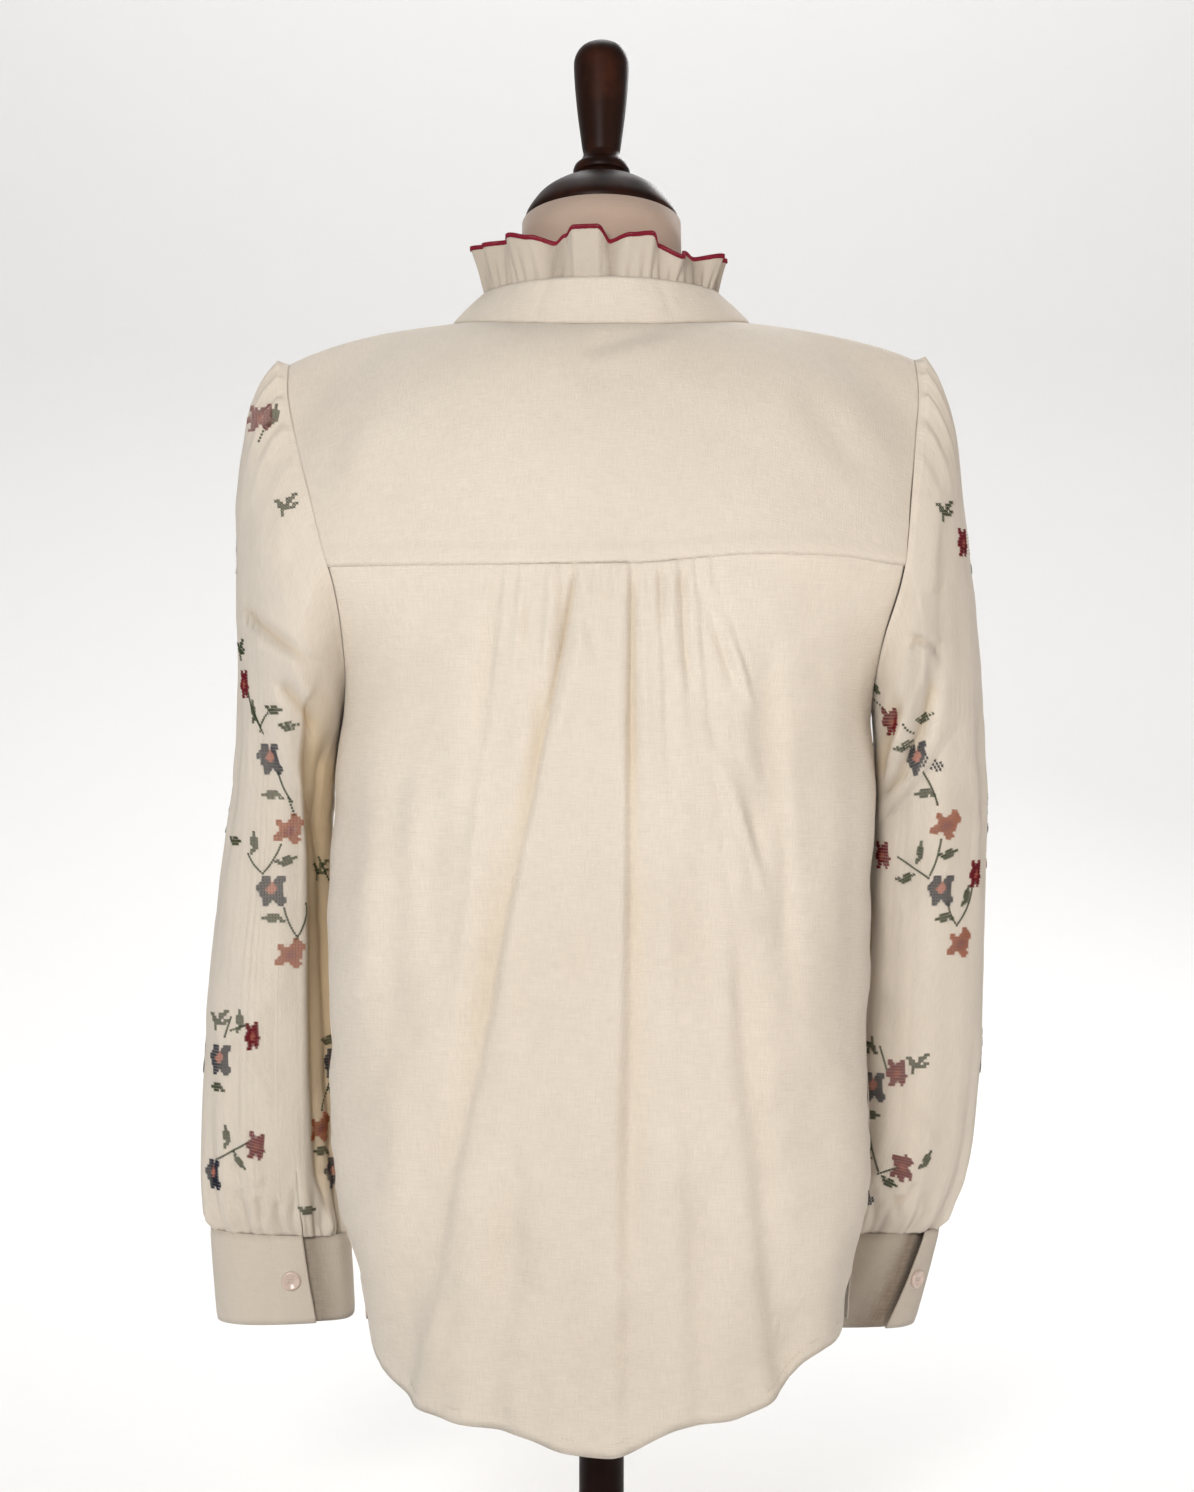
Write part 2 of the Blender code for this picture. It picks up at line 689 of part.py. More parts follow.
def make_stand(cotton, pearl):
    """The neck band, lapped at the centre front, and its button."""
    turns = np.linspace(STAND_UNDER_END, STAND_OVER_END, 43)
    rows = []
    for share in (1.0, 0.5, 0.0):
        row = []
        for turn in turns:
            low, high = stand_point(STAND_BASE, turn), stand_point(STAND_TOP, turn)
            point = low + (high - low) * share
            level_out = np.array([point[0], point[1], 0.0])
            level_out = level_out / np.linalg.norm(level_out)
            row.append(point - level_out * lap_step(turn, STAND_UNDER_END))
        rows.append(row)
    cloth("collar_stand", [rows], cotton, wall=BAND)

    low, high = stand_point(STAND_BASE, 270), stand_point(STAND_TOP, 270)
    up = (high - low) / np.linalg.norm(high - low)
    out = np.array([0.0, -up[2], up[1]])
    make_button("collar_button", (low + high) / 2, out, pearl)


def ruffle_point(turn, level):
    """A point of the ruffle: its waves open out from the seam to the edge."""
    seam = stand_point(STAND_TOP, turn)
    level_out = np.array([seam[0], seam[1], 0.0])
    level_out = level_out / np.linalg.norm(level_out)
    wave = ruffle_wave("out", turn)
    out = -1.0 + 1.4 * (wave / 10 - 0.5) * (1 - level) + (wave - 1.5) * level
    return seam + level_out * out + np.array([0, 0, SEAM_GAP + ruffle_wave("rise", turn) * level])


def ruffle_wave(value, turn):
    """A column of the ruffle's table, eased from each wave to the next."""
    keys = [row.turn for row in RUFFLE]
    i = min(max(int(np.searchsorted(keys, turn)) - 1, 0), len(keys) - 2)
    t = (turn - keys[i]) / (keys[i + 1] - keys[i])
    ease = t * t * (3 - 2 * t)
    first, second = getattr(RUFFLE[i], value), getattr(RUFFLE[i + 1], value)
    return first + (second - first) * ease


def make_ruffle(cotton):
    turns = []
    for first, second in zip(RUFFLE, RUFFLE[1:]):
        turns += list(np.linspace(first.turn, second.turn, RUFFLE_STEPS + 1))[:-1]
    turns.append(RUFFLE[-1].turn)
    rows = [[ruffle_point(turn, level) for turn in turns] for level in reversed(RUFFLE_LEVELS)]
    cloth("collar_ruffle", [rows], cotton, wall=RUFFLE_WALL)


def sleeve_turn(column, columns, section):
    """A column's turn round the sleeve: drawn together at the head's gathers, and even lower down."""
    share = column / columns
    warp = SLEEVE_WARP * max(0.0, 1 - section / 4)
    return degrees(2 * pi * share - warp * sin(2 * pi * share))


def sleeve_gather(turn, section, sections):
    """How far a gather stands out at a turn of a section."""
    turn = (turn + 180) % 360 - 180
    if section < len(HEAD_DEPTHS):
        fade = max(0.0, cos(radians(90 * min(1.0, abs(turn) / HEAD_REACH))))
        return HEAD_DEPTHS[section] * fade * cos(radians(turn * 180 * HEAD_GATHERS / HEAD_REACH))
    low = section - (sections - len(CUFF_DEPTHS))
    if low >= 0:
        uneven = 1 + 0.3 * sin(radians(2.6 * turn + 40))
        return CUFF_DEPTHS[low] * uneven * cos(radians(turn * CUFF_GATHERS))
    return 0.0


def sleeve_crease(turn, section):
    """How far the elbow's creases sink at a turn of a section."""
    sunk = 0.0
    for crease in SLEEVE_CREASES:
        if crease.section == section:
            apart = (turn - crease.turn + 180) % 360 - 180
            sunk += crease.depth * np.exp(-((apart / crease.spread) ** 2))
    return sunk


def sleeve_ring_point(row, section, sections, turn, side, seam_y, seam_bow):
    """A point of a sleeve's section: turn 0 is its outer side, and 90 its back.

    seam_y and seam_bow are the armhole seam's place at that turn and how far it bows outwards there.
    The sections near the seam keep to them.
    """
    outer = np.array([row.out_x, row.mid_y, row.out_z])
    inner = np.array([row.in_x, row.mid_y, row.in_z])
    along, away = cos(radians(turn)), sin(radians(turn))
    depth = row.back if away >= 0 else row.front
    swell = sleeve_gather(turn, section, sections) - sleeve_crease(turn, section)
    half = np.linalg.norm(outer - inner) / 2
    axis = (outer - inner) / (2 * half)
    squared = np.sign(along) * abs(along) ** (2 / SLEEVE_POWER)
    bulged = np.sign(away) * abs(away) ** (2 / SLEEVE_POWER)
    kept = HEAD_SHAPE[section] if section < len(HEAD_SHAPE) else 0.0
    squared += (along - squared) * kept
    point = (outer + inner) / 2 + axis * squared * (half + swell)
    free_y = row.mid_y + bulged * (depth + swell)
    point[1] = free_y + (seam_y + away * (swell + section) - free_y) * kept
    point[0] = (point[0] + seam_bow * kept) * side
    return point


def armhole_ring(left, turns):
    """The sleeve's upper edge, just outside the armhole's seam, and how far it bows out at each point."""
    halves = {front: armhole_edge(left, front) for front in (False, True)}
    top = halves[False][-1][2]
    middle, half = (top + UNDERARM) / 2, (top - UNDERARM) / 2
    ends = armhole_x(np.array([UNDERARM, top]), left)
    ring = []
    bows = []
    for turn in turns:
        height = middle + half * cos(radians(turn))
        edge = halves[sin(radians(turn)) < 0]
        y = np.interp(height, edge[:, 2], edge[:, 1])
        x = armhole_x(height, left) + ARMHOLE_GAP
        ring.append(np.array([x if left else -x, y, height]))
        bows.append(armhole_x(height, left) - np.interp(height, [UNDERARM, top], ends))
    return ring, bows


def make_sleeve(name, table, cotton, left, slit):
    """A full sleeve, gathered at its head and at the cuff, with a slit above the cuff."""
    side = 1 if left else -1
    sections = len(table) + 1
    rows = []
    for section in range(sections):
        fine = section < 4 or section >= sections - 3
        columns = SLEEVE_FINE if fine else SLEEVE_FINE // 2
        turns = [sleeve_turn(c, columns, section) for c in range(columns)]
        row, bows = armhole_ring(left, turns)
        if section > 0:
            form = table[section - 1]
            row = [
                sleeve_ring_point(form, section, sections, turn, side, seam[1], bow)
                for turn, seam, bow in zip(turns, row, bows)
            ]
        rows.append(row if left else [row[0]] + row[:0:-1])
    cell = round(slit / 360 * SLEEVE_FINE)
    cell = cell if left else SLEEVE_FINE - 1 - cell
    return cloth(name, [rows], cotton, closed=True, skip=[(sections - 2, cell), (sections - 3, cell)])


def cuff_point(row, turn, end):
    """A point of a cuff's outer face. Its under end is set in below its over end."""
    outer = np.array([row.out_x, row.mid_y, row.out_z])
    inner = np.array([row.in_x, row.mid_y, row.in_z])
    step = lap_step(turn, end - 360 - CUFF_LAP, CUFF_LAP_RUN)
    along, away = cos(radians(turn)), sin(radians(turn))
    half = np.linalg.norm(outer - inner) / 2
    squared = np.sign(along) * abs(along) ** (2 / SLEEVE_POWER)
    bulged = np.sign(away) * abs(away) ** (2 / SLEEVE_POWER)
    point = (outer + inner) / 2 + (outer - inner) / (2 * half) * squared * (half - step)
    point[1] += bulged * (row.depth - step)
    return point


def make_cuff(name, table, cotton, pearl, left):
    """A lapped cuff and its button, which lies near the over end."""
    side = np.array([1.0 if left else -1.0, 1.0, 1.0])
    rows = []
    for row in table:
        turns = np.linspace(row.end - 360 - CUFF_LAP, row.end, CUFF_COLUMNS + 1)
        points = [cuff_point(row, turn, row.end) * side for turn in turns]
        rows.append(points if left else points[::-1])
    cloth(f"{name}_cuff", [rows], cotton, wall=BAND)

    middle = table[1]
    turn = middle.end - CUFF_BUTTON_BACK
    point = cuff_point(middle, turn, middle.end)
    ahead = cuff_point(middle, turn + 3, middle.end) - cuff_point(middle, turn - 3, middle.end)
    down = cuff_point(table[2], turn, middle.end) - cuff_point(table[0], turn, middle.end)
    out = np.cross(down, ahead)
    out = out / np.linalg.norm(out)
    if out[1] < 0:
        out = -out
    make_button(f"{name}_cuff_button", point * side, out * side, pearl)


def make_form(linen):
    """The dress form's body and neck, in one closed solid."""
    turns = np.linspace(0, 360, FORM_COLUMNS, endpoint=False)
    rings = [neck_ring(NECK_RADIUS, CAP_HEIGHT - 0.4, CAP_TILT, turns)]
    rings.append(neck_ring(NECK_RADIUS + 0.6, CAP_HEIGHT - 30, CAP_TILT, turns))
    rings.append(neck_ring(NECK_ROOT_RADIUS, CAP_HEIGHT - NECK_LENGTH, CAP_TILT + 4, turns))
    lines = []
    for turn in turns:
        start = neck_point(turn)
        level_out = np.array([start[0], start[1], 0.0])
        start = start - level_out / np.linalg.norm(level_out) * 4 - np.array([0, 0, FORM_INSET])
        end = section_point(FORM, turn, YOKE_SEAM)
        line = resample(shoulder_line(start, end, turn), np.linspace(0, 1, 7))
        line[:, 0] = np.clip(line[:, 0], -FORM_HALF_WIDTH, FORM_HALF_WIDTH)
        lines.append(line)
    rings += [[line[k] for line in lines] for k in range(7)]
    for height in (60, 10, -40, -90, -140, -200, -265, -300, FORM_BOTTOM):
        rings.append([section_point(FORM, turn, height, 2.3) for turn in turns])

    bm = bmesh.new()
    lines = [[bm.verts.new(place(point)) for point in ring] for ring in rings]
    for first, second in zip(lines, lines[1:]):
        join_rows(bm, first, second, True, ())
    bm.faces.new(lines[0])
    bm.faces.new(lines[-1][::-1])
    new_piece("form_body", bm, linen)


def neck_ring(radius, height, tilt, turns):
    """A ring round the neck, tilted forwards."""
    rise = tan(radians(tilt))
    points = []
    for turn in turns:
        x, y = radius * cos(radians(turn)), radius * sin(radians(turn))
        points.append(np.array([x, y + NECK_MIDDLE, height + y * rise]))
    return points


def make_stand_parts(wood):
    """The turned neck cap and handle, and the pole and round base."""
    cap = turned(
        "neck_cap",
        [
            (0, CAP_TOP), (16, CAP_TOP), (18, 29), (27, 26), (38, 18.6), (45, 9.6), (47.8, 3.6), (47, 0),
            (0, 0),
        ],
        32,
        wood,
    )
    handle = turned(
        "cap_handle",
        [
            (0, 90), (7, 89), (13, 85.5), (16.8, 79), (17.4, 70), (15.6, 46), (12.4, 20), (11.4, 13.5),
            (13.4, 9), (16.6, 6), (17.8, 2.5), (17.2, 0.3), (0, 0.3),
        ],
        24,
        wood,
    )
    handle.location = (0, 0, CAP_TOP * MM)
    for piece in (cap, handle):
        piece.parent = tilted_seat()
    pole_top = FORM_BOTTOM + BUST_LINE - SEAM_GAP
    pole_foot = BASE_THICK + POLE_GAP
    turned(
        "stand_pole",
        [(0, pole_top), (POLE_RADIUS, pole_top), (POLE_RADIUS, pole_foot), (0, pole_foot)],
        24,
        wood,
    )
    turned(
        "stand_base",
        [
            (0, BASE_THICK), (26, BASE_THICK), (34, 21), (60, 18), (134, 14), (145, 11), (BASE_RADIUS, 5.5),
            (148, 0), (0, 0),
        ],
        40,
        wood,
    )


def tilted_seat():
    """An empty at the top of the neck, tilted forwards as the neck is."""
    seat = bpy.data.objects.get("neck_seat")
    if seat is None:
        seat = bpy.data.objects.new("neck_seat", None)
        seat.location = place((0, NECK_MIDDLE, CAP_HEIGHT))
        seat.rotation_euler = (radians(CAP_TILT), 0, 0)
        bpy.context.scene.collection.objects.link(seat)
    return seat


def main():
    for old in list(bpy.data.objects):
        bpy.data.objects.remove(old, do_unlink=True)
    cotton = finish("cream_cotton", (0.80, 0.70, 0.55), 0.85)
    linen = finish("form_linen", (0.58, 0.46, 0.34), 0.9)
    wood = finish("dark_wood", (0.03, 0.008, 0.004), 0.3)
    pearl = finish("pearl_button", (0.72, 0.58, 0.50), 0.3)
    make_form(linen)
    make_stand_parts(wood)
    make_back(cotton)
    make_front("left_front", cotton, left=True)
    make_front("right_front", cotton, left=False)
    make_placket(cotton, pearl)
    make_stand(cotton, pearl)
    make_ruffle(cotton)
    make_sleeve("left_sleeve", LEFT_SLEEVE, cotton, left=True, slit=108)
    make_sleeve("right_sleeve", RIGHT_SLEEVE, cotton, left=False, slit=48)
    make_cuff("left", LEFT_CUFF, cotton, pearl, left=True)
    make_cuff("right", RIGHT_CUFF, cotton, pearl, left=False)


main()
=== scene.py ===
from collections import namedtuple
from math import cos, degrees, pi, radians, sin, tan

import bmesh
import bpy
import numpy as np
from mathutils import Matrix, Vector
from mathutils.bvhtree import BVHTree


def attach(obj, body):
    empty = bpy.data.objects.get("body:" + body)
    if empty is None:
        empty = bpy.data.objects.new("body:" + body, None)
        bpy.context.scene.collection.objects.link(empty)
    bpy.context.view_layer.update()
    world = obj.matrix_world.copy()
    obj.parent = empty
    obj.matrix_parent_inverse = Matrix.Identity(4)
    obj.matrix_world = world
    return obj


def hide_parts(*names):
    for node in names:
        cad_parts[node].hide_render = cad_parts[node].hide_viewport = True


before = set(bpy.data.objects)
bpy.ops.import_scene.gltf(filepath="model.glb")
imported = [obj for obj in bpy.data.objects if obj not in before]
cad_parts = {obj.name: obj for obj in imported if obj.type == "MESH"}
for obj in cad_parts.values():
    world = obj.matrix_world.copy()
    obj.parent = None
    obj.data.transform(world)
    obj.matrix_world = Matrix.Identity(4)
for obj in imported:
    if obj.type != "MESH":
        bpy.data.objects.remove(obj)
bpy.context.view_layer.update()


def named(kind, table):
    """A table's rows with the names of their columns."""
    return [kind(*row) for row in table]


MM = 0.001
BUST_LINE = 525.0
BUST_POINT = np.array([0, 0, BUST_LINE])

# Cloth: the walls of a single and a double layer as shown, and the levels where the body's pieces meet
SHELL = 0.7
BAND_SHELL = 1.4
YOKE_SEAM = 108.0
UNDERARM = 25.0
SECTION_POWER = 2.4

# The neck seam and the shoulder
NECK_HALF_WIDTH = 92.0
NECK_BACK = 64.0
NECK_FRONT = 80.0
NECK_HEIGHT = 262.0
NECK_BACK_DROP = 7.0
NECK_FRONT_DROP = 57.0
NECK_DROP_POWER = 1.6
YOKE_FRONT_TURN = -20.0
SHOULDER_POWER = 2.2
SHOULDER_SQUARE = 7.0
SHOULDER_SLOPE = 0.10
SHOULDER_SIDE_SLOPE = 0.09
SHOULDER_TURN = 40

BodySection = namedtuple("BodySection", "height left right back front")
BODY = named(BodySection, [
    (108, 215, 222, 112, 108),
    (85, 186, 200, 113, 111),
    (65, 170, 184, 114, 113),
    (40, 160.5, 171, 115, 115),
    (25, 160, 168, 115, 116),
    (-24, 165, 167, 116, 115),
    (-91, 169, 166, 116, 113),
    (-152, 169, 164, 117, 111),
    (-216, 166, 166, 118, 110),
    (-262, 164, 166, 118, 110),
    (-292, 161, 162, 118, 110),
    (-330, 150, 156, 118, 110),
    (-357, 146, 153, 117, 109),
    (-425, 142, 150, 114, 107),
])

Armhole = namedtuple("Armhole", "height left right")
ARMHOLE = named(Armhole, [
    (240, 193, 193),
    (214, 192, 194),
    (187, 186, 191),
    (151, 176, 187),
    (121, 168, 184),
    (100, 162, 181),
    (65, 158, 172),
    (40, 158, 168.5),
    (25, 160, 168),
])
SHOWN_ARMHOLE_GAP = 0.3

# How much higher than the solids' the yoke's seam lies, from the wearer's right to the left
SeamRise = namedtuple("SeamRise", "x rise")
SEAM_RISE = named(SeamRise, [
    (-190, 0.6), (-172, 2.0), (-152, 4.6), (-120, 6.0), (-86, 5.8), (-60, 3.6), (-30, 0.6), (0, 0.0),
    (190, 0.0),
])
SEAM_RISE_REACH = 42.0
ROUND_RADIUS = 125.0

Hem = namedtuple("Hem", "turn height")
HEM = named(Hem, [
    (0, -358), (15, -376), (32, -393), (50, -401), (68, -407), (82, -417), (95, -419), (106, -405),
    (124, -398), (134, -388), (144, -370), (160, -362), (180, -358), (215, -380), (270, -396),
    (325, -380), (360, -358),
])

HEM_WIDTH = 9.5
HEM_STEP = 0.45
HEM_EDGE = 1.2

# The turn by which a panel stops short of its seam, 0.05 mm at the side
SIDE_INSET = degrees(0.05 / 165)

# Gathers and long folds of the back: where each valley lies at the seam and at the hem, and how sharp
# its steeper side is (below 0 the left side, above 0 the right side)
BackFold = namedtuple("BackFold", "top hem depth hem_depth width reach lean")
BACK_FOLDS = named(BackFold, [
    (59, 128, 2.6, 3.0, 3.4, 0.5, 0.3), (50, 98, 2.8, 0.5, 3.2, 0.16, 0.3),
    (41, 66, 3.0, 0.0, 3.2, 0.13, 0.2), (34, 62, 3.2, 4.0, 3.2, 0.3, 0.3),
    (24, 46, 3.2, 0.5, 3.0, 0.14, 0.3), (15, 124, 5.0, 6.0, 3.4, 1.0, 0.6),
    (6, 2, 2.2, 0.0, 2.8, 0.15, 0.0), (-3, -2, 2.4, 0.5, 3.0, 0.2, 0.3),
    (-18, -18, 5.0, 6.0, 3.2, 1.0, -0.6), (-27, -40, 3.2, 1.0, 3.0, 0.2, -0.3),
    (-34, -62, 3.0, 3.0, 3.2, 0.3, -0.5), (-47, -78, 3.4, 0.5, 3.2, 0.24, -0.5),
    (-55, -112, 2.6, 5.0, 3.2, 0.3, -0.3), (-66, -132, 2.2, 1.0, 3.4, 0.3, 0.0),
])
FOLD_RISE = 0.03
FOLD_SPREAD = 9.0
PUFF = 2.2
PUFF_HALF_WIDTH = 66.0
PUFF_LEVEL = 0.06
PUFF_RUN = 0.096

FrontFold = namedtuple("FrontFold", "top hem depth width")
FRONT_FOLDS = [FrontFold(48, 62, 3.0, 13.0), FrontFold(96, 108, 4.0, 15.0)]
FRONT_FOLD_TOP = 108.0
FRONT_FOLD_FOOT = -358.0

# Creases placed one by one: a line between two points of the cloth seen from behind or in front, bowed to
# one side, with its depth (below 0 it stands out) and its half width
Crease = namedtuple("Crease", "x1 z1 x2 z2 bow depth width lean")
BACK_CREASES = named(Crease, [
    (16, 100, 43, -18, 3, 3.8, 4.0, 0.6), (22, 60, 40, -60, 4, -1.6, 5, 0),
    (16, 102, 26, 30, -2, 1.8, 3, 0.3), (16, 104, -3, 40, -2, 1.8, 3, -0.3),
    (-18, 106, -19, -60, 0, 3.2, 3.4, -0.7), (-24, 60, -26, -120, 1, -1.5, 6, 0),
    (-35, 106, -33, 58, 1, 2.4, 2.6, -0.4), (-48, 106, -58, 22, -4, 3.0, 3.2, -0.5),
    (-60, 96, -88, 20, -3, 1.6, 3.0, -0.2), (-66, 84, -93, 14, 0, -2.2, 2.4, 0),
    (-62, 2, -100, -100, 3, -2.2, 2.6, 0), (-72, 10, -98, -80, 4, 1.4, 4, -0.2),
    (-97, 76, -112, -200, 3, 3.6, 9, -0.4), (62, 92, 88, -20, 4, 1.8, 7, 0.3),
    (42, 92, 52, 30, 2, 1.6, 5, 0.3), (118, 20, 124, -150, 5, 1.8, 12, 0.3),
    (100, -30, 92, -170, -5, 1.6, 9, 0.2), (74, -60, 70, -230, 4, 1.8, 11, 0),
    (34, -90, 38, -260, -3, 1.5, 10, 0.2), (-58, -70, -60, -250, 4, 1.6, 9, -0.2),
    (-96, -110, -104, -300, -4, 1.8, 10, -0.2), (-126, -20, -130, -180, 3, 1.5, 10, 0),
    (28, -210, 66, -300, 5, 0.9, 1.6, 0.2), (104, -250, 76, -262, 2, 0.7, 1.6, 0),
    (20, -196, 40, -232, -2, 0.8, 1.5, 0), (-10, -250, -52, -262, 3, 0.8, 1.8, 0),
    (-20, -300, -66, -290, -3, 0.9, 2.0, 0), (30, -318, 78, -306, 4, 0.9, 2.0, 0),
    (-80, -268, -126, -248, -3, 0.9, 2.2, 0), (88, -330, 126, -312, 2, 0.8, 2.0, 0),
    (-32, -352, -88, -340, 3, 0.9, 2.2, 0), (10, -372, 52, -366, 2, 0.8, 2.0, 0),
    (-132, -224, -152, -206, -2, 0.8, 1.6, 0), (-98, -330, -130, -318, 2, 0.8, 1.8, 0),
    (-142, -252, -158, -262, 0, 0.8, 1.6, 0),
])
YOKE_CREASES = named(Crease, [
    (14, 236, -58, 254, 2, 2.0, 5.5, 0), (150, 205, 168, 150, -3, 1.6, 8, 0),
    (-120, 226, -168, 150, -4, 1.6, 9, 0),
])
FRONT_CREASES = named(Crease, [
    (60, 150, 92, 60, 6, 1.6, 6, 0.2), (-60, 150, -92, 60, -6, 1.6, 6, -0.2),
    (120, 60, 96, -20, -5, 1.8, 6, 0.2), (-120, 60, -96, -30, 5, 1.8, 6, -0.2),
    (36, 60, 40, -150, 4, 1.4, 8, 0), (-36, 20, -42, -210, -4, 1.4, 8, 0),
    (80, -80, 84, -300, -5, 1.6, 9, 0), (-80, -60, -78, -320, 5, 1.6, 9, 0),
    (124, -120, 122, -300, 4, 1.4, 8, 0), (-126, -100, -124, -290, 4, 1.4, 8, 0),
    (30, -250, 80, -262, 3, 0.8, 2, 0), (-30, -290, -90, -270, 3, 0.8, 2, 0),
    (24, -330, 70, -346, -3, 0.8, 2, 0), (-28, -210, -70, -222, -3, 0.8, 2, 0),
    (96, -210, 136, -196, 3, 0.8, 2, 0),
])

StandEdge = namedtuple("StandEdge", "half_width back front height back_rise front_drop")
STAND_BASE = StandEdge(92.0, 64.0, 80.0, 262.6, -7.0, 57.0)
STAND_TOP = StandEdge(72.0, 57.0, 64.0, 281.0, 3.5, 41.0)
STAND_OVER_END = 283.0
STAND_UNDER_END = -98.0
LAP_STEP = 2.9
LAP_RUN = 30.0

RuffleWave = namedtuple("RuffleWave", "turn out rise")
RUFFLE = named(RuffleWave, [
    (-78, 3.0, 26), (-66, 9.5, 29), (-54, 1.0, 26), (-42, 10.0, 30), (-30, 0.5, 27), (-19, 9.0, 29),
    (-8, 1.0, 27), (4, 9.5, 30), (15, 3.0, 30), (26, 9.0, 28), (37, 3.5, 28), (46, 9.5, 30),
    (57, 8.5, 27), (66, 0.5, 23), (72, 2.5, 27), (78, 7.5, 31), (88, 8.0, 31), (94, 1.0, 23),
    (103, 8.0, 26.5), (112, 8.0, 28), (119, 3.0, 22), (128, 7.5, 16), (135, 3.0, 20), (144, 0.5, 18),
    (158, 9.0, 22), (169, 0.5, 22), (180, 7.0, 23), (191, 1.0, 24), (203, 9.5, 28), (215, 0.5, 26),
    (227, 10.0, 30), (239, 1.0, 26), (250, 9.0, 29), (260, 3.0, 26),
])

SleeveSection = namedtuple("SleeveSection", "out_x out_z in_x in_z mid_y back front")
LEFT_SLEEVE = named(SleeveSection, [
    (200, 235.5, 162, 20, 3, 84, 81),
    (210, 223, 163.5, 12, 2, 86, 82),
    (219, 199, 165.5, 2, 0, 85, 80),
    (225, 158, 167, -12, -6, 81, 77),
    (226.5, 106, 169.5, -30, -14, 75, 74),
    (227.5, 45, 171, -54, -24, 67, 70),
    (231.5, -18, 170.5, -84, -35, 62, 67),
    (241, -80, 169.5, -114, -45, 59, 64),
    (249, -141, 168, -156, -52, 57, 62),
    (253.5, -210, 166, -211, -55, 56, 60),
    (254.5, -263, 164, -264, -56, 54, 56),
    (253, -291, 163, -293, -56, 45, 47),
    (248.3, -307.8, 163.5, -311, -56, 35, 37),
])
RIGHT_SLEEVE = named(SleeveSection, [
    (199.5, 237.5, 170, 20, 3, 80, 78),
    (208, 224, 171, 12, 2, 83, 80),
    (217, 199, 172, 2, 0, 83, 79),
    (223, 156, 172, -12, -6, 80, 76),
    (229, 115, 172, -30, -15, 74, 74),
    (238, 47, 170.5, -54, -28, 66, 70),
    (243, -20, 169, -84, -40, 62, 67),
    (244, -82, 166, -114, -50, 59, 64),
    (244, -144, 163.5, -155, -60, 57, 62),
    (243, -209, 160, -212, -72, 56, 60),
    (238.5, -265, 152, -266, -86, 54, 56),
    (229, -296, 147, -297, -93, 45, 46),
    (219, -313.5, 146, -315.5, -97, 35, 36),
])
SLEEVE_POWER = 2.5
HEAD_SHAPE = (1.0, 1.0, 0.9, 0.72, 0.5, 0.28, 0.1)
HEAD_GATHERS = 11
HEAD_REACH = 75.0
HEAD_DEPTHS = (1.4, 2.4, 2.2, 0.8)
CUFF_GATHERS = 13
CUFF_DEPTHS = (0.5, 1.8, 3.2, 1.0)

SleeveCrease = namedtuple("SleeveCrease", "section turn depth spread")
SLEEVE_CREASES = named(SleeveCrease, [
    (4, 60, 1.5, 26),
    (5, 118, 7.0, 30),
    (6, 140, 5.0, 26),
    (7, 250, 5.0, 30),
    (8, 75, 3.0, 24),
    (9, 290, 3.5, 26),
])

CuffLevel = namedtuple("CuffLevel", "out_x out_z in_x in_z mid_y depth end")
LEFT_CUFF = named(CuffLevel, [
    (248.9, -308.4, 162.9, -311.6, -56, 36.5, 108),
    (246.8, -336.5, 161, -338, -56, 37, 111),
    (244.5, -366, 160, -364, -56, 36, 116),
])
RIGHT_CUFF = named(CuffLevel, [
    (219.6, -314.1, 145.4, -316.1, -97, 36.5, 48),
    (211.8, -344, 138, -345, -97, 38, 58),
    (203.4, -375, 131, -374, -97, 37, 70),
])
CUFF_LAP = 42.0
CUFF_LAP_RUN = 36.0
CUFF_HOLLOW = 4.0

PLACKET_HALF_WIDTH = 15.0
PLACKET_TOP = 215.0
PLACKET_FOOT = -410.0

FormSection = namedtuple("FormSection", "height left right back front")
FORM = named(FormSection, [
    (108, 206, 206, 104, 101),
    (60, 162, 162, 101, 103),
    (20, 149, 149, 99, 103),
    (-90, 118, 118, 80, 82),
    (-190, 138, 138, 93, 86),
    (-270, 146, 146, 97, 88),
    (-320, 136, 136, 90, 84),
])
FORM_HALF_WIDTH = 184.0
FORM_BOTTOM = -320.0
FORM_INSET = 2.1
NECK_RADIUS = 49.7
NECK_ROOT_RADIUS = 52.5
NECK_MIDDLE = -4.0
NECK_LENGTH = 68.0
CAP_TILT = 12.7
CAP_HEIGHT = 326.5
CAP_TOP = 33.0

# Half outlines of the turned wood, as (radius, height)
CAP_PROFILE = [(0, 33), (16, 33), (18, 29), (27, 26), (38, 18.6), (45, 9.6), (47.8, 3.6), (47, 0), (0, 0)]
HANDLE_PROFILE = [
    (0, 90), (7, 89), (13, 85.5), (16.8, 79), (17.4, 70), (15.6, 46), (12.4, 20), (11.4, 13.5), (13.4, 9),
    (16.6, 6), (17.8, 2.5), (17.2, 0.3), (0, 0.3),
]
POLE_PROFILE = [(0, 204.6), (14, 204.6), (14, 24.3), (0, 24.3)]
BASE_PROFILE = [(0, 24), (26, 24), (34, 21), (60, 18), (134, 14), (145, 11), (150, 5.5), (148, 0), (0, 0)]

# Camera: level with the bust line, straight behind
CAMERA = (0.0028, 2.0, 0.525)
LENS = 77.2

